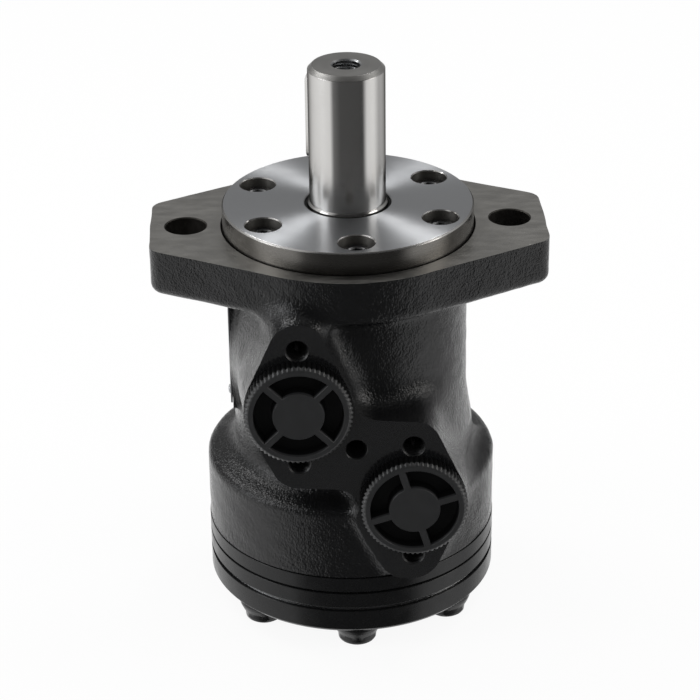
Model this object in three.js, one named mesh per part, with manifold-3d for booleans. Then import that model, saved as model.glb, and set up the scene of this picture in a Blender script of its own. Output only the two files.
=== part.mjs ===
// Orbital hydraulic motor: a cast housing with an oval flange and two side ports, a keyed
// output shaft that is also the rotary valve, a roller gear set behind it, and plastic plugs
// in the ports. Millimetres. +Z runs along the shaft, the ports face -Y, the flange's ears lie
// along X, and the origin is on the shaft axis, on the relieved middle of the end cover's back.
import * as THREE from "three";
import { mergeVertices } from "three/addons/utils/BufferGeometryUtils.js";
import Module from "manifold-3d";

const wasm = await Module();
wasm.setup();

const { PI, sin, cos, asin, atan2, hypot, sign, min, max } = Math;
const quarterTurn = PI / 2;
const fullTurn = 2 * PI;

// How far a cutter runs past the face that it cuts
const overrun = 1;

// Sizes along the axis, from the end cover up
const endCoverThickness = 8.5;
const endLandHeight = 0.3;
const gearSetWidth = 6.5;
const spacerPlateThickness = 6;
const housingLength = 107;
const flangeThickness = 16;
const pilotHeight = 7.5;
const recessDepth = 8;
const shaftReach = 54.7;
const barrelLength = 26.5;

const gearRingBase = endCoverThickness;
const spacerPlateBase = gearRingBase + gearSetWidth;
const housingBase = spacerPlateBase + spacerPlateThickness;
const mountingFace = housingBase + housingLength;
const flangeBase = mountingFace - flangeThickness;
const recessFloor = mountingFace - recessDepth;
const coverFace = mountingFace + pilotHeight;
const shaftEnd = mountingFace + shaftReach;
const shoulderRim = housingBase + barrelLength;

// Casting
const barrelRadius = 49.1;
const neckRadius = 39.45;
const rimRound = 1.5;
const ledgeRise = 1.5;
const neckFillet = 3;
const flangeFillet = 3.5;
const pilotRadius = 41.25;
const flangeRim = 6.25;
const earHoleOffset = 11.95;
const earEndDistance = 11.8;
const earHoleRadius = 6.75;
const earCornerRadius = 6;
const earFlatHalf = 15;
const flangeEdgeRound = 3.5;
const waistRadius = pilotRadius + flangeRim;
const earHoleX = pilotRadius + earHoleOffset;
const earEndX = earHoleX + earEndDistance;

// Ports and their pad
const portSpacing = 36.8;
const portDrop = 42;
const portStagger = 35.5;
const portThreadRadius = 10.3;
const portDepth = 16;
const portMouthClearance = 1.7;
const portMouthDepth = 1.6;
const galleryRadius = 4;
const padProud = 0.9;
const padLobeRadius = 17.5;
const padBossRadius = 9.2;
const padFlare = 2.2;
const padRoot = 10;
const webFillet = 9;
const webLean = 0.147;
const studRise = 20.3;
const studRadius = 4;
const studDepth = 15;
const holeChamfer = 0.4;
const centreHoleRadius = 3.4;
const centreHoleDepth = 12;
const centreHoleRise = 2;
const portFace = barrelRadius + padProud;
const portSites = [
  { name: "a", x: -portSpacing / 2, z: mountingFace - portDrop },
  { name: "b", x: portSpacing / 2, z: mountingFace - portDrop - portStagger },
];

// Shaft, valve and bearing
const shaftRadius = 12.5;
const shaftChamfer = 1.4;
const journalStep = 0.6;
const spoolRadius = 19;
const spoolFrontDrop = 16;
const spoolRearGap = 3;
const spoolChamfer = 0.5;
const leakGrooveDepth = 1;
const runningClearance = 0.05;
const annulusDepth = 2.5;
const annulusWidth = 10;
const slotWidth = 3.6;
const slotDepth = 2.2;
const slotOverlap = 6;
const slotPairs = 6;
const windowRadius = 2.5;
const passageRadius = 2.5;
const passageWall = 3.5;
const spoolFront = mountingFace - spoolFrontDrop;
const spoolRear = housingBase + spoolRearGap;
const boreRadius = spoolRadius + runningClearance;
const journalRadius = shaftRadius + journalStep;
const windowHeight = (portSites[0].z + portSites[1].z) / 2;
const centreHoleHeight = windowHeight + centreHoleRise;
const passageCircle = boreRadius + annulusDepth + passageWall + passageRadius;
const raceThickness = 2.5;
const needleRadius = 1.5;
const needleCount = 9;
const needleLength = 8;
const bearingWidth = 2 * raceThickness + 2 * needleRadius;
const bearingRadius = 26.5;
const bearingClearance = 0.5;
const cageInnerGap = 0.5;
const cageOuterGap = 1;
const bearingInner = journalRadius + bearingClearance;

// Key and shaft end
const keyWidth = 8;
const keyHeight = 7;
const keyLength = 32;
const keyProud = 3;
const keyEndDistance = 5;
const keyDirection = 2.304;
const keyClearance = 0.1;
const endHoleRadius = 4;
const endHoleDepth = 20;
const endHoleFlare = 0.7;

// Front cover, its seals and its screws
const coverClearance = 0.3;
const coverEdge = 0.6;
const coverBoreGap = 1.6;
const screwInset = 8.25;
const screwCount = 6;
const screwTurn = 0.0419;
const counterboreRadius = 5.85;
const counterboreDepth = 9;
const screwHeadRadius = 5;
const screwHeadHeight = 6;
const screwRadius = 3;
const screwLength = 14;
const screwSocketRadius = 2.9;
const screwSocketDepth = 3;
const screwHeadChamfer = 0.4;
const screwHoleClearance = 0.3;
const threadClearance = 0.1;
const shaftSealWidth = 7;
const shaftSealSection = 6.6;
const shaftSealWeb = 1.8;
const shaftSealCase = 1.2;
const dustSealWidth = 3.4;
const dustSealSection = 3.2;
const sealClearance = 0.15;
const coverRingSection = 1.7;
const coverRingRise = 2;
const coverLipDepth = 2.4;
const dustLipDrop = 0.6;
const collarDrop = 0.3;
const sealShelfGap = 1;

// Bolts through the stack and the rings that seal it
const boltCount = 7;
const boltInset = 9.1;
const boltRadius = 4;
const boltHoleClearance = 0.3;
const boltFlangeRadius = 8.3;
const boltFlangeHeight = 1.8;
const boltFlangeTaper = 0.6;
const boltHexRadius = 6.9;
const boltHexChamfer = 0.7;
const boltHexCrown = 1.1;
const boltHeadHeight = 8.1;
const boltGrip = 13;
const boltDirection = -quarterTurn;
const bodySealInset = 2.9;
const bodySealSection = 1.7;
const bodySealDepth = 1.4;
const endCoverEdge = 1.4;
const endReliefGap = 2.5;
const boltCircle = barrelRadius - boltInset;
const bodySealRadius = barrelRadius - bodySealInset;
const endReliefRadius = boltCircle - boltFlangeRadius - endReliefGap;

// Gear set: rollers in the ring, and a star with one lobe fewer
const rollerCount = 7;
const rollerInset = 7;
const rollerRadius = 7;
const orbitRadius = 2.4;
const rollerClearance = 0.06;
const starClearance = 0.1;
const pocketLip = 0.45;
const ringDirection = quarterTurn;
const starLobes = rollerCount - 1;
const rollerCircle = boltCircle - rollerInset;
const starSides = 72;
const starCrowding = 0.55;
const rollerSides = 20;

// Drive link between star and shaft
const splineTeeth = 12;
const splineTip = 9.4;
const splineRoot = 7.9;
const splineToothWidth = 2.5;
const splineClearance = 0.25;
const splineTaper = 1.25;
const splineRunout = 2;
const linkShankRadius = 6.5;
const linkPivotDrop = 44;
const linkHeadHalf = 8;
const linkRearHead = 6.5;
const linkCrown = 0.5;
const linkCavityWall = 7.5;
const stopRadius = 8.5;
const stopThickness = 2.4;
const stopGap = 0.2;
const stopDrop = 0.6;
const linkSweepGap = 1;
const starMiddle = gearRingBase + gearSetWidth / 2;
const linkPivot = mountingFace - linkPivotDrop;
const linkReach = linkPivot - starMiddle;
const linkTilt = atan2(orbitRadius, linkReach);
const linkSweep = splineTip + splineClearance + orbitRadius + linkSweepGap;
const stopTop = endCoverThickness - stopDrop;

// Port plugs
const plugRimRadius = 17.4;
const plugRimWidth = 5.5;
const plugFrontRadius = 16;
const plugFrontEdge = 1.1;
const plugTeeth = 40;
const plugToothDepth = 0.7;
const plugHubRadius = 8.25;
const plugPocketRadius = 14.4;
const plugPocketDepth = 4.2;
const plugSpokeWidth = 2.2;
const plugStemLength = 10;
const plugStemClearance = 0.3;
const plugSeat = 0.3;
const plugStemChamfer = 1;
const plugSpokeTurn = { a: PI / 4, b: 0.297 };

// Drain port at the back, and the plate on the side
const drainHoleRadius = 5.8;
const drainDepth = 12;
const drainDrop = 30;
const drainBossRadius = 10.5;
const drainBossProud = 1.6;
const drainLeakRadius = 2.5;
const drainHeadRadius = 8.6;
const drainHeadHeight = 5;
const drainSocketRadius = 3.4;
const drainWasherThickness = 1.5;
const drainWasherRim = 0.6;
const drainChamfer = 0.6;
const drainPlugGap = 2;
const plateHeight = 41;
const plateWidth = 26;
const plateThickness = 0.6;
const plateDrop = 19;
const plateCorner = 2;
const platePadProud = 0.25;
const platePadRim = 1.2;
const platePadDepth = 4.8;
const rivetRadius = 1.5;
const rivetHeight = 0.7;
const rivetCrown = 0.25;
const rivetInset = 4;
const restGap = 0.05;

// Facets round a full turn, by how large the circle is
const largeSides = 32;
const shaftSides = 24;
const mediumSides = 20;
const portSides = 16;
const sealSides = 12;
const endHoleSides = 12;
const holeSides = 10;
const smallSides = 8;
const passageSides = 6;

const finish = (color, roughness, metalness) =>
  new THREE.MeshStandardMaterial({ color, roughness, metalness });
const finishes = {
  paintedCasting: finish(0x17181a, 0.45, 0.2),
  paintedSteel: finish(0x1c1d1f, 0.35, 0.3),
  turnedSteel: finish(0xb9bbbd, 0.28, 1),
  groundSteel: finish(0xc4c3c0, 0.18, 1),
  hardSteel: finish(0x8d8f92, 0.3, 1),
  blackSteel: finish(0x17171a, 0.4, 0.6),
  rubber: finish(0x101010, 0.8, 0),
  plugPlastic: finish(0x131415, 0.5, 0),
  aluminium: finish(0xa9abad, 0.4, 1),
};

// Solids as closed geometries, joined and cut with manifold-3d

function toSolid(geometry) {
  const bare = new THREE.BufferGeometry();
  bare.setAttribute("position", geometry.getAttribute("position"));
  bare.setIndex(geometry.getIndex());
  const merged = mergeVertices(bare);
  const corners = merged.getIndex().array;
  const kept = [];
  for (let i = 0; i < corners.length; i += 3) {
    const [a, b, c] = corners.subarray(i, i + 3);
    if (a !== b && b !== c && c !== a) kept.push(a, b, c);
  }
  return new wasm.Manifold(new wasm.Mesh({
    numProp: 3,
    vertProperties: merged.getAttribute("position").array,
    triVerts: new Uint32Array(kept),
  }));
}

function toGeometry(solid) {
  const { vertProperties, triVerts } = solid.getMesh();
  const geometry = new THREE.BufferGeometry();
  geometry.setAttribute("position", new THREE.BufferAttribute(vertProperties, 3));
  geometry.setIndex(new THREE.BufferAttribute(triVerts, 1));
  geometry.computeVertexNormals();
  return geometry;
}

function join(...pieces) {
  return toGeometry(pieces.map(toSolid).reduce((whole, piece) => whole.add(piece)));
}

function cut(body, ...tools) {
  return toGeometry(tools.map(toSolid).reduce((whole, tool) => whole.subtract(tool), toSolid(body)));
}

// Solid of revolution about Z from a profile of [radius, height], anticlockwise in that plane.
// A profile that stays off the axis closes on itself as a ring.
function turned(profile, sides) {
  const onAxis = profile[0][0] === 0;
  const closed = onAxis ? profile : [...profile, profile[0]];
  const points = closed.map(([radius, height]) => new THREE.Vector2(radius, height));
  return new THREE.LatheGeometry(points, sides).rotateX(quarterTurn);
}

function rod(radius, from, to, sides) {
  return turned([[0, from], [radius, from], [radius, to], [0, to]], sides);
}

function ring(inner, outer, from, to, sides) {
  return turned([[inner, from], [outer, from], [outer, to], [inner, to]], sides);
}

// Radius of a faceted bore that clears a round of this radius at any turn
function clearing(radius, sides) {
  return radius / cos(PI / sides);
}

// A drilled hole along Z from `mouth` down, with a cone left by the drill at the bottom
function drilled(radius, mouth, depth, sides) {
  const floor = mouth - depth;
  const top = mouth + overrun;
  return turned([[0, floor - radius / 2], [radius, floor], [radius, top], [0, top]], sides);
}

// Closed outline of a belt run anticlockwise round circles of [x, y, radius, pieces].
// A circle with a negative radius is passed on its other side, so it makes a hollow.
function belt(circles) {
  const courses = circles.map(([x, y, radius], i) => {
    const [nextX, nextY, nextRadius] = circles[(i + 1) % circles.length];
    const lean = (radius - nextRadius) / hypot(nextX - x, nextY - y);
    return atan2(nextY - y, nextX - x) + asin(max(-1, min(1, lean)));
  });
  return circles.flatMap(([x, y, radius, pieces], i) => {
    const arriving = courses.at(i - 1);
    const side = sign(radius);
    const turn = ((((courses[i] - arriving) * side) % fullTurn) + fullTurn) % fullTurn;
    return Array.from({ length: pieces + 1 }, (_, k) => {
      const angle = arriving + (side * turn * k) / pieces - quarterTurn;
      return new THREE.Vector2(x + radius * cos(angle), y + radius * sin(angle));
    });
  });
}

// Closed solid through outlines of equal length stacked along Z, each { outline, at }
function loft(sections) {
  const count = sections[0].outline.length;
  const positions = sections.flatMap(({ outline, at }) => outline.flatMap(({ x, y }) => [x, y, at]));
  const last = (sections.length - 1) * count;
  const faces = [];
  for (const [a, b, c] of THREE.ShapeUtils.triangulateShape(sections[0].outline, [])) {
    faces.push(c, b, a);
  }
  for (const [a, b, c] of THREE.ShapeUtils.triangulateShape(sections.at(-1).outline, [])) {
    faces.push(last + a, last + b, last + c);
  }
  for (let level = 0; level < last; level += count) {
    for (let i = 0; i < count; i += 1) {
      const next = (i + 1) % count;
      faces.push(level + i, level + next, level + count + next);
      faces.push(level + i, level + count + next, level + count + i);
    }
  }
  const geometry = new THREE.BufferGeometry();
  geometry.setAttribute("position", new THREE.Float32BufferAttribute(positions, 3));
  geometry.setIndex(faces);
  return geometry;
}

function prism(outline, from, to) {
  return loft([{ outline, at: from }, { outline, at: to }]);
}

function polygon(radius, corners, turn = 0) {
  return Array.from({ length: corners }, (_, i) => {
    const angle = turn + (i / corners) * fullTurn;
    return new THREE.Vector2(radius * cos(angle), radius * sin(angle));
  });
}

// Points of a quarter circle, from its first angle on, about [centreRadius, centreHeight]
function quarter(centreRadius, centreHeight, radius, start, turn = quarterTurn, pieces = 2) {
  return Array.from({ length: pieces + 1 }, (_, i) => {
    const angle = start + (turn * i) / pieces;
    return [centreRadius + radius * cos(angle), centreHeight + radius * sin(angle)];
  });
}

// Copies of a cutter, turned about the shaft axis onto a circle
function around(count, start, make) {
  return Array.from({ length: count }, (_, i) => make().rotateZ(start + (i / count) * fullTurn));
}

// Ports are drawn looking at the port face: x across, y up the shaft, z out of the housing
const towardsPorts = (geometry) => geometry.rotateX(quarterTurn);
const towardsBack = (geometry) => geometry.rotateX(-quarterTurn);

// Housing

function flangeOutline(grow) {
  const corner = [earEndX - earCornerRadius, earFlatHalf];
  return belt([
    [corner[0], -corner[1], earCornerRadius + grow, 3],
    [corner[0], corner[1], earCornerRadius + grow, 3],
    [0, 0, waistRadius + grow, 8],
    [-corner[0], corner[1], earCornerRadius + grow, 3],
    [-corner[0], -corner[1], earCornerRadius + grow, 3],
    [0, 0, waistRadius + grow, 8],
  ]);
}

function flangeBlank() {
  const rise = flangeBase + flangeEdgeRound;
  const lowerEdge = quarter(-flangeEdgeRound, rise, flangeEdgeRound, -quarterTurn);
  const sections = lowerEdge.map(([grow, at]) => ({ outline: flangeOutline(grow), at }));
  return loft([...sections, { outline: flangeOutline(0), at: mountingFace }]);
}

function padOutline(grow) {
  const [a, b] = portSites;
  const lobe = padLobeRadius + grow;
  const boss = padBossRadius + grow;
  const reach = padLobeRadius + webFillet;
  const upperWeb = [a.x + reach * cos(webLean), a.z + reach * sin(webLean)];
  const lowerWeb = [a.x + b.x - upperWeb[0], a.z + b.z - upperWeb[1]];
  return belt([
    [b.x, b.z - studRise, boss, 5],
    [b.x, b.z, lobe, 4],
    [b.x, b.z + studRise, boss, 5],
    [...upperWeb, grow - webFillet, 5],
    [a.x, a.z, lobe, 3],
    [a.x, a.z + studRise, boss, 5],
    [a.x, a.z, lobe, 4],
    [a.x, a.z - studRise, boss, 5],
    [...lowerWeb, grow - webFillet, 5],
    [b.x, b.z, lobe, 3],
  ]);
}

function padBlank() {
  const levels = 3;
  const sections = Array.from({ length: levels + 1 }, (_, i) => {
    const share = i / levels;
    return {
      outline: padOutline(padFlare * sin(PI * share)),
      at: padRoot + (portFace - padRoot) * share,
    };
  });
  const belowHousing = rod(2 * earEndX, housingBase - housingLength, housingBase, 8);
  return cut(towardsPorts(loft(sections)), belowHousing);
}

function barrelBlank() {
  const ledgeTop = shoulderRim + ledgeRise;
  return turned([
    [0, housingBase],
    [barrelRadius, housingBase],
    ...quarter(barrelRadius - rimRound, shoulderRim - rimRound, rimRound, 0),
    ...quarter(neckRadius + neckFillet, ledgeTop + neckFillet, neckFillet, -quarterTurn, -quarterTurn),
    ...quarter(neckRadius + flangeFillet, flangeBase - flangeFillet, flangeFillet, PI, -quarterTurn),
    [neckRadius + flangeFillet, flangeBase + flangeEdgeRound],
    [0, flangeBase + flangeEdgeRound],
  ], largeSides);
}

function platePadOutline(grow) {
  const halfWidth = plateWidth / 2 + platePadRim - plateCorner;
  const halfHeight = plateHeight / 2 + platePadRim - plateCorner;
  const middle = mountingFace - plateDrop - plateHeight / 2;
  return belt([
    [halfWidth, middle - halfHeight, plateCorner + grow, 3],
    [halfWidth, middle + halfHeight, plateCorner + grow, 3],
    [-halfWidth, middle + halfHeight, plateCorner + grow, 3],
    [-halfWidth, middle - halfHeight, plateCorner + grow, 3],
  ]);
}

// The flat for the plate, on the neck's -X side
function platePadBlank() {
  const face = neckRadius + platePadProud;
  const pad = loft([
    { outline: platePadOutline(platePadRim), at: face - platePadDepth },
    { outline: platePadOutline(0), at: face },
  ]);
  return towardsPorts(pad).rotateZ(-quarterTurn);
}

function boreCavity() {
  const bore = clearing(boreRadius, mediumSides);
  const annulusRadius = bore + annulusDepth;
  const annuli = [...portSites].reverse().flatMap(({ z }) => [
    [bore, z - annulusWidth / 2],
    [annulusRadius, z - annulusWidth / 2],
    [annulusRadius, z + annulusWidth / 2],
    [bore, z + annulusWidth / 2],
  ]);
  const bearingBore = bearingRadius + bearingClearance;
  const bearingFloor = recessFloor - bearingWidth - bearingClearance;
  const valveBore = turned([
    [0, housingBase - overrun],
    [bore, housingBase - overrun],
    ...annuli,
    [bore, bearingFloor],
    [bearingBore, bearingFloor],
    [bearingBore, recessFloor + overrun],
    [0, recessFloor + overrun],
  ], mediumSides);
  const coverRecess = rod(pilotRadius + coverClearance, recessFloor, mountingFace + overrun, largeSides);
  return join(valveBore, coverRecess);
}

function portCutters() {
  const mouth = portThreadRadius + portMouthClearance;
  return portSites.flatMap(({ x, z }) => {
    const bore = turned([
      [0, portFace - portDepth],
      [portThreadRadius, portFace - portDepth],
      [portThreadRadius, portFace - portMouthDepth],
      [mouth, portFace - portMouthDepth],
      [mouth, portFace + overrun],
      [0, portFace + overrun],
    ], portSides);
    const floorReach = portFace - portDepth + overrun;
    const slant = atan2(x, floorReach);
    const galleryEnd = hypot(x, floorReach);
    const gallery = rod(galleryRadius, spoolRadius - overrun, galleryEnd, passageSides);
    const studs = [-studRise, studRise].map((rise) =>
      towardsPorts(drilled(studRadius, portFace, studDepth, smallSides).translate(x, z + rise, 0)));
    return [
      towardsPorts(bore.translate(x, z, 0)),
      towardsPorts(gallery).rotateZ(slant).translate(0, 0, z),
      ...studs,
    ];
  });
}

function passageCutters() {
  const top = windowHeight + windowRadius;
  const passages = around(rollerCount, boltDirection, () =>
    rod(passageRadius, housingBase - overrun, top, passageSides).translate(passageCircle, 0, 0));
  const windows = around(rollerCount, boltDirection, () =>
    rod(windowRadius, spoolRadius - overrun, passageCircle, passageSides)
      .rotateY(quarterTurn).translate(0, 0, windowHeight));
  return [...passages, ...windows];
}

function housing() {
  const drainHeight = mountingFace - drainDrop;
  const drainFace = neckRadius + drainBossProud;
  const casting = join(
    barrelBlank(),
    flangeBlank(),
    padBlank(),
    platePadBlank(),
    towardsBack(rod(drainBossRadius, neckRadius / 2, drainFace, portSides).translate(0, -drainHeight, 0)),
  );
  const earHoles = [-earHoleX, earHoleX].map((x) =>
    turned([
      [0, flangeBase - overrun],
      [earHoleRadius, flangeBase - overrun],
      [earHoleRadius, mountingFace - holeChamfer],
      [earHoleRadius + 2 * holeChamfer, mountingFace + holeChamfer],
      [0, mountingFace + holeChamfer],
    ], portSides).translate(x, 0, 0));
  const screwFloor = coverFace - counterboreDepth - screwLength - overrun;
  const screwHoles = around(screwCount, screwTurn + fullTurn / 12, () =>
    rod(screwRadius + threadClearance, screwFloor, mountingFace, smallSides)
      .translate(pilotRadius - screwInset, 0, 0));
  const boltHoles = around(boltCount, boltDirection, () =>
    rod(boltRadius + threadClearance, housingBase - overrun, housingBase + boltGrip + overrun, smallSides)
      .translate(boltCircle, 0, 0));
  return cut(
    casting,
    boreCavity(),
    ...portCutters(),
    ...passageCutters(),
    towardsPorts(drilled(centreHoleRadius, portFace, centreHoleDepth, smallSides)
      .translate(0, centreHoleHeight, 0)),
    towardsBack(rod(drainHoleRadius, drainFace - drainDepth, drainFace + overrun, holeSides)
      .translate(0, -drainHeight, 0)),
    towardsBack(rod(drainLeakRadius, spoolRadius - overrun, drainFace - drainDepth, passageSides)
      .translate(0, -drainHeight, 0)),
    ...earHoles,
    ...screwHoles,
    ...boltHoles,
    bodySealGroove(housingBase, 1),
  );
}

// Front cover, shaft seals and screws

function frontCover() {
  const boreAtFace = shaftRadius + coverBoreGap;
  const sealPocket = journalRadius + sealClearance + shaftSealSection + sealClearance;
  const sealShelf = recessFloor + sealShelfGap + shaftSealWidth + sealClearance;
  const dustPocket = journalRadius + 2 * sealClearance + dustSealSection;
  const dustTop = coverFace - coverLipDepth;
  const dustFloor = dustTop - dustSealWidth - 2 * sealClearance;
  const ringFloor = pilotRadius - coverRingSection - sealClearance;
  const ringBase = recessFloor + coverRingRise;
  const ringTop = ringBase + coverRingSection + 2 * sealClearance;
  const blank = turned([
    [sealPocket, recessFloor],
    [pilotRadius, recessFloor],
    [pilotRadius, ringBase],
    [ringFloor, ringBase],
    [ringFloor, ringTop],
    [pilotRadius, ringTop],
    [pilotRadius, coverFace - coverEdge],
    [pilotRadius - coverEdge, coverFace],
    [boreAtFace, coverFace],
    [boreAtFace, dustTop],
    [dustPocket, dustTop],
    [dustPocket, dustFloor],
    [boreAtFace, dustFloor],
    [boreAtFace, sealShelf],
    [sealPocket, sealShelf],
  ], largeSides);
  const floor = coverFace - counterboreDepth;
  const holes = around(screwCount, screwTurn + fullTurn / 12, () =>
    turned([
      [0, recessFloor - overrun],
      [screwRadius + screwHoleClearance, recessFloor - overrun],
      [screwRadius + screwHoleClearance, floor],
      [counterboreRadius, floor],
      [counterboreRadius, coverFace - holeChamfer],
      [counterboreRadius + 2 * holeChamfer, coverFace + holeChamfer],
      [0, coverFace + holeChamfer],
    ], holeSides).translate(pilotRadius - screwInset, 0, 0));
  return cut(blank, ...holes);
}

function coverSeal() {
  const inner = pilotRadius - coverRingSection;
  const base = recessFloor + coverRingRise + sealClearance;
  return ring(inner, pilotRadius + sealClearance, base, base + coverRingSection, largeSides);
}

function shaftSeal() {
  const inner = clearing(journalRadius, sealSides) + sealClearance;
  const outer = journalRadius + sealClearance + shaftSealSection;
  const base = recessFloor + sealShelfGap;
  const web = base + shaftSealWidth - shaftSealWeb;
  return turned([
    [inner, base],
    [inner + shaftSealWeb, web],
    [outer - shaftSealCase, web],
    [outer - shaftSealCase, base],
    [outer, base],
    [outer, base + shaftSealWidth],
    [inner, base + shaftSealWidth],
  ], sealSides);
}

function dustSeal() {
  const inner = clearing(journalRadius, portSides) + sealClearance;
  const outer = journalRadius + sealClearance + dustSealSection;
  const lip = shaftRadius + coverBoreGap - sealClearance;
  const top = coverFace - coverLipDepth - sealClearance;
  return turned([
    [inner, top - dustSealWidth],
    [outer, top - dustSealWidth],
    [outer, top],
    [lip, top],
    [lip, coverFace - dustLipDrop],
    [inner, coverFace - dustLipDrop],
  ], portSides);
}

function coverScrew() {
  const blank = turned([
    [0, -screwLength],
    [screwRadius, -screwLength],
    [screwRadius, 0],
    [screwHeadRadius, 0],
    [screwHeadRadius, screwHeadHeight - screwHeadChamfer],
    [screwHeadRadius - screwHeadChamfer, screwHeadHeight],
    [0, screwHeadHeight],
  ], smallSides);
  const socketFloor = screwHeadHeight - screwSocketDepth;
  return cut(blank, prism(polygon(screwSocketRadius, 6), socketFloor, screwHeadHeight + overrun));
}

// Shaft with the rotary valve, key and thrust bearing

// Outline of a spline whose teeth stand out from the root by `grow` more than nominal
function splineOutline(grow) {
  const tip = splineTip + grow;
  const root = splineRoot + grow;
  const halfTip = (splineToothWidth / 2 + grow) / tip / splineTaper;
  const halfRoot = (splineToothWidth / 2 + grow) / root;
  return Array.from({ length: splineTeeth }, (_, i) => (i / splineTeeth) * fullTurn).flatMap((angle) =>
    [[root, -halfRoot], [tip, -halfTip], [tip, halfTip], [root, halfRoot]].map(([radius, turn]) =>
      new THREE.Vector2(radius * cos(angle + turn), radius * sin(angle + turn))));
}

function outputShaft() {
  const [upper, lower] = portSites.map(({ z }) => z);
  const waist = spoolRadius - annulusDepth;
  const annuli = [lower, upper].flatMap((z) => [
    [spoolRadius, z - annulusWidth / 2],
    [waist, z - annulusWidth / 2],
    [waist, z + annulusWidth / 2],
    [spoolRadius, z + annulusWidth / 2],
  ]);
  const leakHeight = mountingFace - drainDrop;
  const blank = turned([
    [0, spoolRear],
    [spoolRadius, spoolRear],
    ...annuli,
    [spoolRadius, leakHeight - drainLeakRadius],
    [spoolRadius - leakGrooveDepth, leakHeight - drainLeakRadius],
    [spoolRadius - leakGrooveDepth, leakHeight + drainLeakRadius],
    [spoolRadius, leakHeight + drainLeakRadius],
    [spoolRadius, spoolFront - spoolChamfer],
    [spoolRadius - spoolChamfer, spoolFront],
    [journalRadius, spoolFront],
    [journalRadius, coverFace - collarDrop - journalStep / 2],
    [journalRadius - journalStep / 2, coverFace - collarDrop],
    [shaftRadius, coverFace - collarDrop],
    [shaftRadius, shaftEnd - shaftChamfer],
    [shaftRadius - shaftChamfer, shaftEnd],
    [0, shaftEnd],
  ], shaftSides);
  const linkTop = linkPivot + linkHeadHalf;
  const splineBase = linkPivot - linkHeadHalf - splineRunout;
  const slots = around(2 * slotPairs, 0, () => new THREE.BoxGeometry(2 * slotDepth, slotWidth, 1));
  slots.forEach((slot, i) => {
    const angle = (i / slots.length) * fullTurn;
    const fromUpper = i % 2 === 0;
    const low = fromUpper ? windowHeight - slotOverlap / 2 - windowRadius : lower;
    const high = fromUpper ? upper : windowHeight + slotOverlap / 2 + windowRadius;
    slot.scale(1, 1, high - low);
    slot.translate(spoolRadius * cos(angle), spoolRadius * sin(angle), (low + high) / 2);
  });
  return cut(
    blank,
    rod(spoolRadius - linkCavityWall, spoolRear - overrun, splineBase, mediumSides),
    prism(splineOutline(splineClearance), splineBase - overrun, linkTop + overrun),
    drilled(endHoleRadius, shaftEnd, endHoleDepth, endHoleSides),
    turned([
      [0, shaftEnd - 2 * endHoleFlare],
      [endHoleRadius - endHoleFlare, shaftEnd - 2 * endHoleFlare],
      [endHoleRadius + 2 * endHoleFlare, shaftEnd + endHoleFlare],
      [0, shaftEnd + endHoleFlare],
    ], endHoleSides),
    keyBar(keyClearance),
    ...slots,
  );
}

// The parallel key, or with a clearance the cutter for its keyway
function keyBar(clearance) {
  const half = keyWidth / 2 + clearance;
  const run = (keyLength - keyWidth) / 2;
  const outline = belt([[0, run, half, 6], [0, -run, half, 6]]);
  const base = shaftRadius + keyProud - keyHeight - clearance;
  const bar = prism(outline, base, shaftRadius + keyProud);
  return bar.rotateZ(PI).rotateX(quarterTurn)
    .rotateZ(quarterTurn + keyDirection)
    .translate(0, 0, shaftEnd - keyEndDistance - keyLength / 2);
}

function needleCage() {
  const middle = recessFloor - bearingWidth / 2;
  const inner = bearingInner + cageInnerGap;
  const outer = bearingRadius - cageOuterGap;
  const web = ring(inner, outer, middle - needleRadius / 2, middle + needleRadius / 2, portSides);
  const start = (inner + outer - needleLength) / 2;
  const needles = around(needleCount, 0, () =>
    rod(needleRadius - restGap, start, start + needleLength, 6)
      .rotateY(quarterTurn).translate(0, 0, middle));
  return join(web, ...needles);
}

function race(base) {
  return ring(bearingInner, bearingRadius, base, base + raceThickness, mediumSides);
}

// Gear set

// The star's flank is a trochoid, the path of a roller's centre seen from the star, moved
// inwards by the roller's radius. The points crowd into the valleys, where it turns fastest.
function starOutline() {
  return Array.from({ length: starSides }, (_, i) => {
    const even = (i / starSides) * fullTurn;
    const angle = even - (starCrowding * sin(starLobes * even)) / starLobes;
    const fast = rollerCount * angle;
    const slopeX = rollerCircle * cos(angle) - rollerCount * orbitRadius * cos(fast);
    const slopeY = rollerCircle * sin(angle) - rollerCount * orbitRadius * sin(fast);
    const inset = (rollerRadius + starClearance) / hypot(slopeX, slopeY);
    return new THREE.Vector2(
      rollerCircle * cos(angle) - orbitRadius * cos(fast) - inset * slopeX,
      rollerCircle * sin(angle) - orbitRadius * sin(fast) - inset * slopeY,
    );
  });
}

function rotorStar() {
  const half = gearSetWidth / 2 - restGap;
  const blank = prism(starOutline(), -half, half).rotateZ(ringDirection);
  return cut(blank, prism(splineOutline(splineClearance), -gearSetWidth, gearSetWidth));
}

function roller() {
  const half = gearSetWidth / 2 - restGap;
  return rod(rollerRadius, -half, half, rollerSides);
}

function boltHoleCutters(from, to) {
  return around(boltCount, boltDirection, () =>
    rod(boltRadius + boltHoleClearance, from - overrun, to + overrun, smallSides)
      .translate(boltCircle, 0, 0));
}

function bodySealGroove(face, direction) {
  const inner = bodySealRadius - bodySealSection / 2 - sealClearance;
  const outer = bodySealRadius + bodySealSection / 2 + sealClearance;
  const deep = face + direction * bodySealDepth;
  const clear = face - direction * overrun;
  return ring(inner, outer, min(deep, clear), max(deep, clear), mediumSides);
}

function bodySeal(face, direction) {
  const near = face + direction * restGap;
  const far = face + direction * (bodySealDepth - sealClearance);
  const half = bodySealSection / 2;
  const [low, high] = direction > 0 ? [near, far] : [far, near];
  return ring(bodySealRadius - half, bodySealRadius + half, low, high, mediumSides);
}

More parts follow.
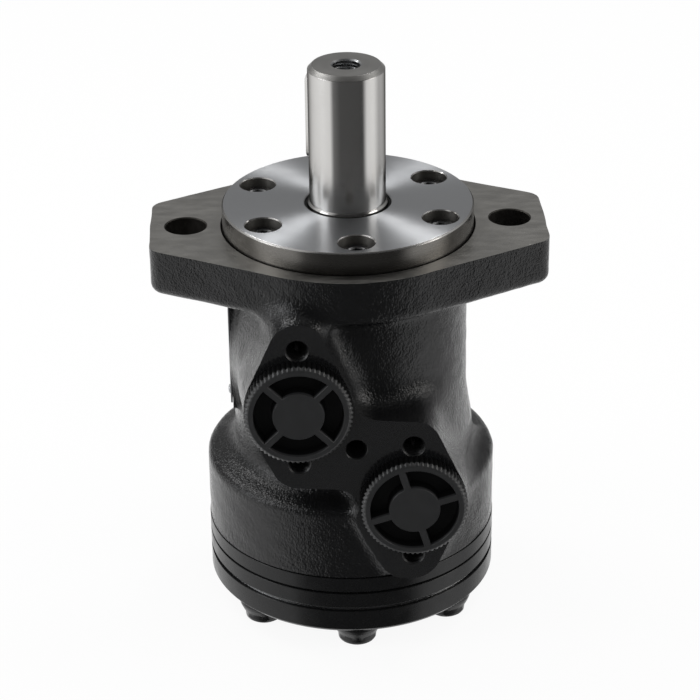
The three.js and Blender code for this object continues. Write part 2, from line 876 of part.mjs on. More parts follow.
function gearRing() {
  const pocket = clearing(rollerRadius + rollerClearance, rollerSides);
  const inner = rollerCircle + orbitRadius - rollerRadius + orbitRadius + pocketLip;
  const pockets = around(rollerCount, ringDirection, () =>
    rod(pocket, gearRingBase - overrun, spacerPlateBase + overrun, rollerSides)
      .translate(rollerCircle, 0, 0));
  return cut(
    ring(inner, barrelRadius, gearRingBase, spacerPlateBase, largeSides),
    ...pockets,
    ...boltHoleCutters(gearRingBase, spacerPlateBase),
  );
}

function spacerPlate() {
  const ports = around(rollerCount, boltDirection, () =>
    rod(passageRadius, spacerPlateBase - overrun, housingBase + overrun, passageSides)
      .translate(passageCircle, 0, 0));
  return cut(
    ring(linkSweep, barrelRadius, spacerPlateBase, housingBase, largeSides),
    ...ports,
    ...boltHoleCutters(spacerPlateBase, housingBase),
    bodySealGroove(spacerPlateBase, 1),
  );
}

function endCover() {
  const floor = stopTop - stopThickness - stopGap;
  const blank = turned([
    [0, 0],
    [endReliefRadius - endLandHeight, 0],
    [endReliefRadius, -endLandHeight],
    [barrelRadius - endCoverEdge, -endLandHeight],
    [barrelRadius, endCoverEdge - endLandHeight],
    [barrelRadius, endCoverThickness],
    [linkSweep, endCoverThickness],
    [linkSweep, floor],
    [0, floor],
  ], largeSides);
  const holes = boltHoleCutters(-endLandHeight, endCoverThickness);
  return cut(blank, ...holes, bodySealGroove(endCoverThickness, -1));
}

// The drive link stands upright here, with its front pivot at the origin
function driveLink() {
  const crowned = (middle, lowest, highest) => {
    const half = max(middle - lowest, highest - middle);
    return [lowest, middle, highest]
      .map((height) => ({
        outline: splineOutline(-linkCrown * ((height - middle) / half) ** 2),
        at: height,
      }));
  };
  const rearMiddle = -linkReach;
  const rearLow = rearMiddle - gearSetWidth / 2 - restGap;
  const front = loft(crowned(0, -linkHeadHalf, linkHeadHalf));
  const rear = loft(crowned(rearMiddle, rearLow, rearMiddle + linkRearHead));
  const shank = rod(linkShankRadius, rearMiddle, 0, holeSides);
  return join(front, shank, rear);
}

function linkStop() {
  return rod(stopRadius, stopTop - stopThickness, stopTop, portSides);
}

function endBolt() {
  const grip = endLandHeight + housingBase + boltGrip;
  const hexBase = -boltFlangeHeight;
  const hexEnd = -boltHeadHeight;
  const washer = turned([
    [0, hexBase - boltFlangeTaper],
    [boltHexRadius - boltHexCrown, hexBase - boltFlangeTaper],
    [boltFlangeRadius - boltFlangeTaper, hexBase],
    [boltFlangeRadius, hexBase / 2],
    [boltFlangeRadius, 0],
    [boltRadius, 0],
    [boltRadius, grip],
    [0, grip],
  ], smallSides);
  const hex = loft([
    { outline: polygon(boltHexRadius - boltHexCrown, 6), at: hexEnd },
    { outline: polygon(boltHexRadius, 6), at: hexEnd + boltHexChamfer },
    { outline: polygon(boltHexRadius, 6), at: hexBase },
  ]);
  return join(washer, hex);
}

// Port plugs, seen from the front: x across, y up, z out of the port

function toothedOutline(radius) {
  return Array.from({ length: 2 * plugTeeth }, (_, i) => {
    const angle = (i / plugTeeth) * PI;
    const reach = radius - (i % 2) * plugToothDepth;
    return new THREE.Vector2(reach * cos(angle), reach * sin(angle));
  });
}

function portPlug(spokeTurn) {
  const back = plugSeat;
  const front = back + plugRimWidth;
  const rim = loft([
    { outline: toothedOutline(plugRimRadius), at: back },
    { outline: toothedOutline(plugRimRadius), at: front - plugFrontEdge },
    { outline: toothedOutline(plugFrontRadius), at: front },
  ]);
  const stemRadius = portThreadRadius - plugStemClearance;
  const stem = turned([
    [0, -plugStemLength],
    [stemRadius - plugStemChamfer, -plugStemLength],
    [stemRadius, -plugStemLength + plugStemChamfer],
    [stemRadius, back + overrun],
    [0, back + overrun],
  ], portSides);
  const pocketFloor = front - plugPocketDepth;
  const pocketRing = ring(plugHubRadius, plugPocketRadius, pocketFloor, front + overrun, mediumSides);
  const spokes = [0, quarterTurn].map((turn) =>
    new THREE.BoxGeometry(4 * plugRimRadius, plugSpokeWidth, 4 * plugPocketDepth).rotateZ(turn));
  return cut(join(rim, stem), cut(pocketRing, ...spokes)).rotateZ(spokeTurn);
}

function portSealRing() {
  const inner = clearing(portThreadRadius - plugStemClearance, portSides) + sealClearance;
  const outer = portThreadRadius + portMouthClearance - sealClearance;
  return ring(inner, outer, sealClearance - portMouthDepth, plugSeat - sealClearance, portSides);
}

// Drain plug, seen from the back: z out of the housing, zero at the boss's face

function drainPlug() {
  const end = drainPlugGap - drainDepth;
  const threadRadius = drainHoleRadius - threadClearance;
  const top = drainWasherThickness + drainHeadHeight;
  const blank = turned([
    [0, end],
    [threadRadius - drainChamfer, end],
    [threadRadius, end + drainChamfer],
    [threadRadius, drainWasherThickness],
    [drainHeadRadius, drainWasherThickness],
    [drainHeadRadius, top - drainChamfer],
    [drainHeadRadius - drainChamfer, top],
    [0, top],
  ], holeSides);
  return cut(blank, prism(polygon(drainSocketRadius, 6), 0, top + overrun));
}

function drainWasher() {
  const outer = drainHeadRadius + drainWasherRim;
  return ring(drainHoleRadius + threadClearance, outer, 0, drainWasherThickness, holeSides);
}

function namePlate() {
  const halfWidth = plateWidth / 2 - plateCorner;
  const halfHeight = plateHeight / 2 - plateCorner;
  const outline = belt([
    [halfWidth, -halfHeight, plateCorner, 3],
    [halfWidth, halfHeight, plateCorner, 3],
    [-halfWidth, halfHeight, plateCorner, 3],
    [-halfWidth, -halfHeight, plateCorner, 3],
  ]);
  return prism(outline, restGap, restGap + plateThickness);
}

function plateRivet() {
  return turned([
    [0, 0],
    [rivetRadius, 0],
    [rivetRadius - rivetCrown, rivetHeight - rivetCrown],
    [0, rivetHeight],
  ], smallSides);
}

// Assembly

const group = new THREE.Group();
group.name = "orbital_motor";

function place(name, geometry, material, x = 0, y = 0, z = 0) {
  const mesh = new THREE.Mesh(toGeometry(toSolid(geometry)), material);
  mesh.name = name;
  mesh.position.set(x, y, z);
  group.add(mesh);
  return mesh;
}

place("housing", housing(), finishes.paintedCasting);
place("front_cover", frontCover(), finishes.turnedSteel);
place("cover_seal", coverSeal(), finishes.rubber);
place("shaft_seal", shaftSeal(), finishes.rubber);
place("dust_seal", dustSeal(), finishes.rubber);
place("spacer_plate", spacerPlate(), finishes.paintedSteel);
place("gear_ring", gearRing(), finishes.paintedSteel);
place("end_cover", endCover(), finishes.paintedSteel);
place("body_seal_front", bodySeal(housingBase, 1), finishes.rubber);
place("body_seal_middle", bodySeal(spacerPlateBase, 1), finishes.rubber);
place("body_seal_rear", bodySeal(endCoverThickness, -1), finishes.rubber);

for (let i = 0; i < screwCount; i += 1) {
  const angle = screwTurn + (i / screwCount + 1 / 12) * fullTurn;
  const radius = pilotRadius - screwInset;
  const screw = place(`cover_screw_${i + 1}`, coverScrew(), finishes.blackSteel,
    radius * cos(angle), radius * sin(angle), coverFace - counterboreDepth);
  screw.rotation.z = angle;
}

for (let i = 0; i < boltCount; i += 1) {
  const angle = boltDirection + (i / boltCount) * fullTurn;
  const bolt = place(`end_bolt_${i + 1}`, endBolt(), finishes.blackSteel,
    boltCircle * cos(angle), boltCircle * sin(angle), -endLandHeight);
  bolt.rotation.z = angle;
}

place("output_shaft", outputShaft(), finishes.groundSteel);
place("shaft_key", keyBar(0), finishes.groundSteel);
place("bearing_race_front", race(recessFloor - raceThickness), finishes.hardSteel);
place("needle_cage", needleCage(), finishes.hardSteel);
place("bearing_race_rear", race(recessFloor - bearingWidth), finishes.hardSteel);

const starX = orbitRadius * cos(ringDirection);
const starY = orbitRadius * sin(ringDirection);
place("rotor_star", rotorStar(), finishes.hardSteel, starX, starY, starMiddle);
place("link_stop", linkStop(), finishes.hardSteel, starX, starY, 0);

for (let i = 0; i < rollerCount; i += 1) {
  const angle = ringDirection + (i / rollerCount) * fullTurn;
  place(`roller_${i + 1}`, roller(), finishes.hardSteel,
    rollerCircle * cos(angle), rollerCircle * sin(angle), starMiddle);
}

// The link leans from the shaft's axis at its front pivot to the star's axis at the rear
const link = place("drive_link", driveLink(), finishes.hardSteel, 0, 0, linkPivot);
link.quaternion.setFromAxisAngle(new THREE.Vector3(sin(ringDirection), -cos(ringDirection), 0), linkTilt);

for (const { name, x, z } of portSites) {
  const shape = portPlug(plugSpokeTurn[name]);
  const plug = place(`port_plug_${name}`, shape, finishes.plugPlastic, x, -portFace, z);
  const seal = place(`port_seal_${name}`, portSealRing(), finishes.rubber, x, -portFace, z);
  plug.rotation.x = quarterTurn;
  seal.rotation.x = quarterTurn;
}

const drainHeight = mountingFace - drainDrop;
const drainFace = neckRadius + drainBossProud;
const drain = place("drain_plug", drainPlug(), finishes.paintedSteel, 0, drainFace, drainHeight);
const washer = place("drain_washer", drainWasher(), finishes.aluminium, 0, drainFace, drainHeight);
drain.rotation.x = -quarterTurn;
washer.rotation.x = -quarterTurn;

// The plate lies on the flat at the neck's -X side, held by two rivets
const side = new THREE.Group();
side.position.set(-neckRadius - platePadProud, 0, mountingFace - plateDrop - plateHeight / 2);
side.rotation.set(quarterTurn, 0, -quarterTurn, "ZXY");
group.add(side);
side.add(place("name_plate", namePlate(), finishes.aluminium));
const rivetX = plateWidth / 2 - rivetInset;
const rivetY = plateHeight / 2 - rivetInset;
const plateTop = 2 * restGap + plateThickness;
side.add(place("plate_rivet_1", plateRivet(), finishes.aluminium, rivetX, -rivetY, plateTop));
side.add(place("plate_rivet_2", plateRivet(), finishes.aluminium, -rivetX, rivetY, plateTop));

export default group;
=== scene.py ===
import math
import bpy
import numpy as np
from mathutils import Matrix, Vector


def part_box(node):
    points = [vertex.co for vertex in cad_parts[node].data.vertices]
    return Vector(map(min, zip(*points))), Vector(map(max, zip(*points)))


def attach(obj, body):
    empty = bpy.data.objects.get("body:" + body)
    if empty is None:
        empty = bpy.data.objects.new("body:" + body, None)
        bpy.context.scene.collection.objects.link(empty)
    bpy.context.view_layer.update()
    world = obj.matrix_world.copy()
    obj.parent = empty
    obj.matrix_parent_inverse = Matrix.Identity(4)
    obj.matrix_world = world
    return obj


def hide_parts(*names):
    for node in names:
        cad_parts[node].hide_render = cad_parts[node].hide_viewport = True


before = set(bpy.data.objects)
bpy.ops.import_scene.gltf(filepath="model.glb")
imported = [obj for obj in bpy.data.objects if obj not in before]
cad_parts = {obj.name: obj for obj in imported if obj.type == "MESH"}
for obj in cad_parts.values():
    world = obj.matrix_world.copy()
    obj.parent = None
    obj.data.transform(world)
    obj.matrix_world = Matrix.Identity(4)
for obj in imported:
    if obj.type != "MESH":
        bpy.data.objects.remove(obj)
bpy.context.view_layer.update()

scene = bpy.context.scene
pi = math.pi
mm = 0.001


def nodeBox(node):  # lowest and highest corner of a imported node, in millimetres
    low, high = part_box(node)
    return np.array(low) / mm, np.array(high) / mm


def nodeMiddle(node):
    low, high = nodeBox(node)
    return (low + high) / 2


def nodeHeights(node):
    low, high = nodeBox(node)
    return low[2], high[2]


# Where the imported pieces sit, in millimetres
(_, portSide, base), (earEnd, barrelRadius, mountingFace) = nodeBox("housing")
portFace = -portSide
coverBase, coverFace = nodeHeights("front_cover")
coverRadius = nodeBox("front_cover")[1][1]
shaftBase, shaftEnd = nodeHeights("output_shaft")
drainFace = nodeBox("drain_washer")[0][1]
drainHeight = nodeMiddle("drain_plug")[2]
ports = {side: nodeMiddle("port_plug_" + side) for side in "ab"}
portsMiddle = (ports["a"][2] + ports["b"][2]) / 2
screwSpots = [nodeMiddle("cover_screw_%d" % n) for n in range(1, 7)]
boltSpots = [nodeMiddle("end_bolt_%d" % n) for n in range(1, 8)]
print("frame read, mounting face at", round(float(mountingFace), 3), "mm")


def linked(name, data):
    made = bpy.data.objects.new(name, data)
    scene.collection.objects.link(made)
    return made


# A mesh from flat arrays: places in metres, the faces' corner numbers and their counts of corners
def meshPiece(name, places, corners, sizes):
    mesh = bpy.data.meshes.new(name)
    mesh.vertices.add(len(places) // 3)
    mesh.vertices.foreach_set("co", places)
    mesh.loops.add(len(corners))
    mesh.loops.foreach_set("vertex_index", corners)
    mesh.polygons.add(len(sizes))
    starts = np.concatenate([[0], np.cumsum(sizes)[:-1]]).astype(np.int32)
    mesh.polygons.foreach_set("loop_start", starts)
    mesh.update(calc_edges=True)
    return linked(name, mesh)


# A mesh from points in millimetres and sets of faces, each set an array of corner numbers
def makePiece(name, points, faceSets):
    points = np.asarray(points, np.float32).reshape(-1, 3)
    corners = np.concatenate([np.asarray(f, np.int32).ravel() for f in faceSets])
    sizes = np.concatenate([np.full(len(f), len(f[0]), np.int32) for f in faceSets])
    return meshPiece(name, (points * mm).ravel(), corners, sizes)


# Quads between neighbouring rows of a grid whose columns close on themselves
def gridFaces(rows, columns, closeRows=False):
    i = np.arange(rows if closeRows else rows - 1)[:, None]
    j = np.arange(columns)[None, :]
    down, across = (i + 1) % rows, (j + 1) % columns
    quads = [i * columns + j, i * columns + across, down * columns + across, down * columns + j]
    return np.stack(quads, -1).reshape(-1, 4)


# Closed solid through an outline of x and y at each height, moved outwards by that level's amount:
# point (i, j) of the grid is level i's point j, and the two ends are capped
def prismStack(name, outlineAt, levels):
    outlines = [outlineAt(grow) for _, grow in levels]
    rings = np.array([np.column_stack([line, np.full(len(line), height)])
                      for line, (height, _) in zip(outlines, levels)], float)
    rows, columns = rings.shape[:2]
    low = np.arange(columns)[::-1][None, :]
    high = ((rows - 1) * columns + np.arange(columns))[None, :]
    return makePiece(name, rings, [gridFaces(rows, columns), low, high])


def block(name, low, high):
    (x0, y0, z0), (x1, y1, z1) = low, high
    square = np.array([[x0, y0], [x1, y0], [x1, y1], [x0, y1]])
    return prismStack(name, lambda grow: square, [(z0, 0), (z1, 0)])


# Surface of revolution: a profile of (r, z) carried round the axis, x = r cos a, y = r sin a.
# A profile that starts on the axis ends on it too and is closed by two poles; any other closes
# on itself as a ring. wave(angle, r, z) is added to r.
def lathe(name, profile, turns=160, wave=None):
    profile = np.asarray(profile, float)
    angle = np.arange(turns) / turns * 2 * pi
    poles = profile[0, 0] == 0
    core = profile[1:-1] if poles else profile
    r = np.repeat(core[:, :1], turns, 1)
    z = np.repeat(core[:, 1:], turns, 1)
    a = np.repeat(angle[None, :], len(core), 0)
    if wave is not None:
        r = r + wave(a, r, z)
    points = np.stack([r * np.cos(a), r * np.sin(a), z], -1).reshape(-1, 3)
    faces = gridFaces(len(core), turns, closeRows=not poles)
    if not poles:
        return makePiece(name, points, [faces])
    count = len(points)
    points = np.vstack([points, [[0, 0, profile[0, 1]], [0, 0, profile[-1, 1]]]])
    j = np.arange(turns)
    across = (j + 1) % turns
    low = np.stack([np.full(turns, count), across, j], -1)
    high = np.stack([np.full(turns, count + 1), count - turns + j, count - turns + across], -1)
    return makePiece(name, points, [faces, low, high])


# Profile with rounded corners: each corner is (r, z, radius), and its arc touches both sides
def rounded(corners, pieces=5):
    corners = np.asarray(corners, float)
    out = []
    for i, (*here, radius) in enumerate(corners):
        here = np.array(here)
        if radius <= 0:
            out.append(here[None, :])
            continue
        before, after = corners[i - 1, :2], corners[(i + 1) % len(corners), :2]
        u = (before - here) / np.linalg.norm(before - here)
        v = (after - here) / np.linalg.norm(after - here)
        half = math.acos(max(-1, min(1, float(u @ v)))) / 2
        reach = radius / math.tan(half)
        middle = here + (u + v) / np.linalg.norm(u + v) * radius / math.sin(half)
        first, last = here + u * reach - middle, here + v * reach - middle
        start = math.atan2(first[1], first[0])
        sweep = (math.atan2(last[1], last[0]) - start + pi) % (2 * pi) - pi
        a = start + sweep * np.linspace(0, 1, pieces)
        out.append(middle + radius * np.stack([np.cos(a), np.sin(a)], -1))
    return np.vstack(out)


def turned(name, corners, turns=160, pieces=5, wave=None):  # lathe work from a rounded profile
    return lathe(name, rounded(corners, pieces), turns, wave)


# A rounded profile whose threaded wall, the straight run between two heights, gets many rows
def threadedProfile(corners, low, high, step, pieces=4):
    profile = rounded(corners, pieces)
    rows = []
    for here, after in zip(profile, np.roll(profile, -1, 0)):
        rows.append(here[None, :])
        inside = min(here[1], after[1]) <= low + 1e-6 and max(here[1], after[1]) >= high - 1e-6
        if inside and abs(here[0] - after[0]) < 1e-6:
            share = np.linspace(0, 1, int(abs(after[1] - here[1]) / step) + 1)[1:-1, None]
            rows.append(here + (after - here) * share)
    return np.vstack(rows)


# Screw thread: r grows by the depth where height / pitch less the share of a turn is a whole
# number, and falls off to nothing half a pitch away, as a triangle with its top and foot cut
# flat. It fades out over a pitch at either end.
def threadWave(pitch, depth, low, high):
    def wave(angle, r, z):
        phase = (z / pitch - angle / (2 * pi)) % 1
        ridge = np.clip(np.abs(2 * phase - 1) * 1.35 - 0.175, 0, 1)
        fade = np.clip(np.minimum(z - low, high - z) / pitch, 0, 1)
        return depth * ridge * fade
    return wave


# Line of a belt run anticlockwise round circles (x, y, radius). A negative radius is passed on
# its other side, so it makes a hollow.
def beltOutline(circles, pieces=12):
    circles = np.asarray(circles, float)
    following = np.roll(circles, -1, 0)
    gap = following[:, :2] - circles[:, :2]
    lean = (circles[:, 2] - following[:, 2]) / np.hypot(gap[:, 0], gap[:, 1])
    courses = np.arctan2(gap[:, 1], gap[:, 0]) + np.arcsin(np.clip(lean, -1, 1))
    arriving = np.roll(courses, 1)
    side = np.sign(circles[:, 2])
    turn = ((courses - arriving) * side) % (2 * pi)
    share = np.linspace(0, 1, pieces)[None, :]
    angle = arriving[:, None] + (side * turn)[:, None] * share - pi / 2
    x = circles[:, :1] + circles[:, 2:] * np.cos(angle)
    y = circles[:, 1:2] + circles[:, 2:] * np.sin(angle)
    return np.stack([x, y], -1).reshape(-1, 2)


# Turns a piece's mesh and moves it, in millimetres, with its object left at the origin
def shifted(piece, x=0, y=0, z=0, turn=None):
    place = Matrix.Translation((x * mm, y * mm, z * mm))
    piece.data.transform(place @ turn if turn is not None else place)
    return piece


def spun(angle):
    return Matrix.Rotation(angle, 4, "Z")


def around(count, start=0):  # evenly spaced turns about the axis
    return [spun(i / count * 2 * pi + start) for i in range(count)]


def ringSpots(count, radius, start):  # x and y of evenly spaced spots round the axis
    angles = [i / count * 2 * pi + start for i in range(count)]
    return [(radius * math.cos(a), radius * math.sin(a)) for a in angles]


towardsPorts = Matrix.Rotation(pi / 2, 4, "X")  # a piece's z points out of the ports and its y up
towardsBack = Matrix.Rotation(-pi / 2, 4, "X")  # its z points to the drain's side
sideways = Matrix.Rotation(pi / 2, 4, "Y")      # its z points along x


def readAll(items, field, kind, width=1):
    values = np.empty(len(items) * width, kind)
    items.foreach_get(field, values)
    return values


def discard(piece):
    mesh = piece.data
    bpy.data.objects.remove(piece)
    bpy.data.meshes.remove(mesh)


def fused(name, pieces):  # several closed solids that don't touch, as one mesh
    meshes = [piece.data for piece in pieces]
    places = np.concatenate([readAll(mesh.vertices, "co", np.float32, 3) for mesh in meshes])
    sizes = np.concatenate([readAll(mesh.polygons, "loop_total", np.int32) for mesh in meshes])
    shifts = np.cumsum([0] + [len(mesh.vertices) for mesh in meshes[:-1]]).astype(np.int32)
    corners = np.concatenate([readAll(mesh.loops, "vertex_index", np.int32) + shift
                              for mesh, shift in zip(meshes, shifts)])
    for piece in pieces:
        discard(piece)
    return meshPiece(name, places, corners, sizes)


# Cuts tools away from a piece, or joins them, and keeps the result as the piece's own mesh
def carve(piece, *tools, operation="DIFFERENCE"):
    for tool in tools:
        step = piece.modifiers.new("step", "BOOLEAN")
        step.operation = operation
        step.solver = "MANIFOLD"
        step.object = tool
    graph = bpy.context.evaluated_depsgraph_get()
    result = bpy.data.meshes.new_from_object(piece.evaluated_get(graph))
    piece.modifiers.clear()
    old = piece.data
    piece.data = result
    bpy.data.meshes.remove(old)
    for tool in tools:
        discard(tool)
    return piece


def finishEdges(piece, degrees=32):  # smooth, with a hard line where faces meet at more than this
    piece.data.shade_smooth()
    piece.data.set_sharp_from_angle(angle=math.radians(degrees))
    return piece


def faceFacts(piece):  # each face's middle in millimetres, its normal and its distance from the axis
    faces = piece.data.polygons
    middle = readAll(faces, "center", np.float32, 3).reshape(-1, 3) / mm
    normal = readAll(faces, "normal", np.float32, 3).reshape(-1, 3)
    return middle, normal, np.hypot(middle[:, 0], middle[:, 1])


def dress(piece, names, choice=None):  # its finishes, and for each face the number of its own
    piece.data.materials.clear()
    for name in names:
        piece.data.materials.append(finishes[name])
    if choice is not None:
        piece.data.polygons.foreach_set("material_index", np.asarray(choice, np.int32))
    return piece


def seat(piece, body, node):  # rides a body and stands for a imported node, which it hides
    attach(piece, body)
    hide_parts(node)
    return piece


def complete(piece, name, body, node, degrees=32):  # edges, finish and seat of a piece in one finish
    dress(finishEdges(piece, degrees), [name])
    return seat(piece, body, node)

print("helpers ready")


def startMaterial(name):
    material = bpy.data.materials.new(name)
    material.use_nodes = True
    material.node_tree.nodes.clear()
    return material


def node(tree, kind, inputs=(), **settings):
    made = tree.nodes.new("ShaderNode" + kind)
    for key, value in settings.items():
        setattr(made, key, value)
    for key, value in dict(inputs).items():
        if isinstance(value, bpy.types.NodeSocket):
            tree.links.new(value, made.inputs[key])
        else:
            made.inputs[key].default_value = value
    return made


def reckon(tree, operation, first, second=0.0, clamp=False):
    return node(tree, "Math", {0: first, 1: second}, operation=operation, use_clamp=clamp).outputs[0]


def eased(tree, value, low, high, atLow=0.0, atHigh=1.0):  # smooth step between two values
    span = {"Value": value, "From Min": low, "From Max": high, "To Min": atLow, "To Max": atHigh}
    return node(tree, "MapRange", span, interpolation_type="SMOOTHSTEP").outputs["Result"]


def speckle(tree, place, size, detail=2.0, roughness=0.5):  # noise from 0 to 1, in lumps this wide
    facts = {"Vector": place, "Scale": 1 / size, "Detail": detail, "Roughness": roughness}
    return node(tree, "TexNoise", facts).outputs["Fac"]


def streaks(tree, place, stretch, lean, size, detail, roughness):  # noise drawn out along one line
    drawn = node(tree, "Mapping", {"Vector": place, "Scale": stretch, "Rotation": (0, 0, lean)})
    return speckle(tree, drawn.outputs[0], size, detail, roughness)


# Small pits: 1 away from the cells' middles and 0 in them, only in the share of cells that is kept
def pits(tree, place, spacing, width, share):
    cells = node(tree, "TexVoronoi", {"Vector": place, "Scale": 1 / spacing, "Randomness": 1.0})
    hollow = eased(tree, cells.outputs["Distance"], width / spacing * 0.3, width / spacing)
    picked = node(tree, "SeparateColor", {"Color": cells.outputs["Color"]}).outputs[0]
    skipped = reckon(tree, "GREATER_THAN", picked, share)
    return reckon(tree, "MAXIMUM", hollow, skipped)


# Turning marks: noise over the distance from the shaft's axis and the height along it, so each
# mark is a ring; a little of the angle's own noise breaks the rings
def rings(tree, place, size):
    parts = node(tree, "SeparateXYZ", {0: place}).outputs
    flat = node(tree, "CombineXYZ", {0: parts[0], 1: parts[1]}).outputs[0]
    radius = node(tree, "VectorMath", {0: flat}, operation="LENGTH").outputs["Value"]
    sway = reckon(tree, "MULTIPLY", speckle(tree, place, 30), 0.02)
    ringPlace = node(tree, "CombineXYZ", {0: reckon(tree, "ADD", radius, sway), 1: parts[2]}).outputs[0]
    return speckle(tree, ringPlace, size, 3.0, 0.6)


def clouded(tree, place, size):  # turning marks and broad clouds in equal parts
    cloud = speckle(tree, place, 12.0, 4.0, 0.6)
    return reckon(tree, "MULTIPLY", reckon(tree, "ADD", rings(tree, place, size), cloud), 0.5)


def millArcs(tree, place, scale):  # a face mill's long arcs
    facts = {"Vector": place, "Scale": scale, "Distortion": 0.8, "Detail": 3.0}
    return node(tree, "TexWave", facts, wave_type="RINGS", rings_direction="Z").outputs["Fac"]


def sandGrain(tree, place, size, onTop):  # fine grain, at this share on faces that look up
    facing = node(tree, "SeparateXYZ", {0: node(tree, "NewGeometry").outputs["Normal"]}).outputs[2]
    share = eased(tree, facing, 0.55, 0.92, 1.0, onTop)
    return reckon(tree, "MULTIPLY", speckle(tree, place, size, 1.0), share)


# Each layer is a height or a share, from 0 to 1, over the place in millimetres
layers = {
    "speckle": speckle, "streaks": streaks, "pits": pits, "rings": rings, "clouded": clouded,
    "millArcs": millArcs, "sandGrain": sandGrain,
}

# What each finish is made of. The colour runs from dark to light, and the roughness over its two
# values, as the layer "tint" rises; "gloss" is a layer of its own for the roughness, "span" is the
# part of the layer that it runs over, and "contrast" strengthens the colour's layer. Each bump is
# (depth in millimetres, layer, sizes), and lies over the one before it.
finishLooks = {
    "cast_paint": {
        "dark": (0.0045, 0.0046, 0.0049), "light": (0.0080, 0.0082, 0.0086), "roughness": (0.12, 0.20),
        "tint": ("speckle", 9.0, 3.0), "gloss": ("speckle", 2.2, 2.0),
        "bumps": [(0.10, "speckle", 5.0), (0.21, "speckle", 1.1), (0.13, "sandGrain", 0.55, 0.85),
                  (0.12, "pits", 6.0, 0.8, 0.35)],
        "sockets": {"IOR": 1.5, "Specular IOR Level": 0.38},
    },
    "pad_paint": {
        "dark": (0.0070, 0.0072, 0.0076), "light": (0.0095, 0.0097, 0.0102), "roughness": (0.10, 0.15),
        "tint": ("speckle", 14.0, 3.0), "gloss": ("speckle", 6.0, 3.0),
        "bumps": [(0.008, "speckle", 2.6, 1.0), (0.0015, "speckle", 0.25, 0.0)],
        "sockets": {"IOR": 1.8},
    },
    "turned_paint": {  # over the turned rims of the stack behind the casting
        "dark": (0.0045, 0.0046, 0.0049), "light": (0.0070, 0.0072, 0.0076), "roughness": (0.20, 0.30),
        "tint": ("speckle", 11.0, 3.0), "gloss": ("speckle", 4.0, 3.0),
        "bumps": [(0.006, "rings", 0.22), (0.012, "speckle", 2.2, 1.0)],
        "sockets": {"IOR": 1.5, "Specular IOR Level": 0.32}, "slot": "painted_steel",
    },
    "milled_iron": {  # the flange's bare top: the mill's arcs, and the pores of the iron
        "dark": (0.27, 0.263, 0.248), "light": (0.40, 0.391, 0.370), "roughness": (0.32, 0.46),
        "tint": ("streaks", (0.35, 1, 1), 0.25, 3.0, 5.0, 0.65), "contrast": 1.15, "span": (0.25, 0.75),
        "bumps": [(0.006, "millArcs", 0.22), (0.10, "pits", 7.0, 0.45, 0.30)],
        "sockets": {"Metallic": 1.0},
    },
    "bored_iron": {  # walls of holes and bores: bare, oiled and darker than the faces
        "dark": (0.035, 0.033, 0.030), "light": (0.085, 0.080, 0.072), "roughness": (0.38, 0.55),
        "tint": ("speckle", 3.5, 4.0, 0.6), "bumps": [(0.01, "speckle", 0.5, 1.0)],
        "sockets": {"Metallic": 0.9},
    },
    "painted_hole": {  # threads that the paint has run into
        "dark": (0.006, 0.006, 0.0065), "light": (0.012, 0.012, 0.0125), "roughness": (0.28, 0.42),
        "tint": ("speckle", 2.5, 3.0), "bumps": [(0.02, "speckle", 0.8, 1.0)],
        "sockets": {"IOR": 1.5},
    },
    "black_steel": {  # black oxide over formed steel
        "dark": (0.005, 0.005, 0.0054), "light": (0.0105, 0.0105, 0.0112), "roughness": (0.24, 0.36),
        "tint": ("speckle", 2.4, 4.0, 0.6), "bumps": [(0.02, "speckle", 0.9)],
        "sockets": {"Metallic": 0.35, "IOR": 1.6}, "slot": "black_steel",
    },
    "plug_plastic": {  # moulded, with a fine eroded grain and faint flow marks
        "dark": (0.0175, 0.018, 0.0188), "light": (0.024, 0.0245, 0.0255), "roughness": (0.33, 0.42),
        # painted shade: between the two depths of "inset" behind the front, colour and specular level fall to
        # the share "deep"
        "tint": ("speckle", 5.0, 4.0, 0.55), "inset": (0.7, 1.5), "deep": 0.22,
        "bumps": [(0.006, "speckle", 0.22, 1.0), (0.03, "speckle", 3.5)],
        "sockets": {"IOR": 1.5}, "slot": "plug_plastic",
    },
    "seal_rubber": {
        "dark": (0.010, 0.010, 0.010), "light": (0.018, 0.018, 0.018), "roughness": (0.55, 0.75),
        "tint": ("speckle", 3.0, 3.0), "bumps": [(0.006, "speckle", 0.3, 1.0)], "slot": "rubber",
    },
    "brushed_aluminium": {  # thin rolled sheet, brushed up and down
        "dark": (0.50, 0.51, 0.52), "light": (0.62, 0.63, 0.64), "roughness": (0.28, 0.40),
        "tint": ("streaks", (1, 1, 0.02), 0, 0.25, 3.0, 0.6),
        "bumps": [(0.002, "streaks", (1, 1, 0.02), 0, 0.25, 3.0, 0.6)],
        "sockets": {"Metallic": 1.0}, "slot": "aluminium",
    },
}

# Bare turned steels: dark, light, roughness, size and depth of the marks, and anisotropy
turnedSteels = {
    "turned_cover_face": ((0.44, 0.45, 0.465), (0.62, 0.63, 0.645), (0.34, 0.42), 0.16, 0.0018, 0.95),
    # the cover's side: the same turned steel as the face but much darker, painted shade
    "turned_cover_side_shaded": ((0.14, 0.134, 0.125), (0.23, 0.221, 0.207), (0.22, 0.32), 0.20, 0.003, 0.8),
    # the counterbores' walls: turned steel mostly darker than the face, painted shade in the holes, with
    # lighter random clouds
    "counterbore_steel": ((0.14, 0.135, 0.125), (0.48, 0.465, 0.44), (0.36, 0.50), 0.35, 0.020, 0.4),
    "ground_shaft_steel": ((0.56, 0.55, 0.535), (0.72, 0.71, 0.695), (0.16, 0.22), 0.12, 0.0004, 0.75),
    "faced_shaft_end": ((0.28, 0.275, 0.264), (0.385, 0.38, 0.368), (0.34, 0.46), 0.25, 0.004, 0.3),
    "hardened_steel": ((0.34, 0.345, 0.35), (0.46, 0.465, 0.47), (0.22, 0.34), 0.3, 0.002, 0.2),
}
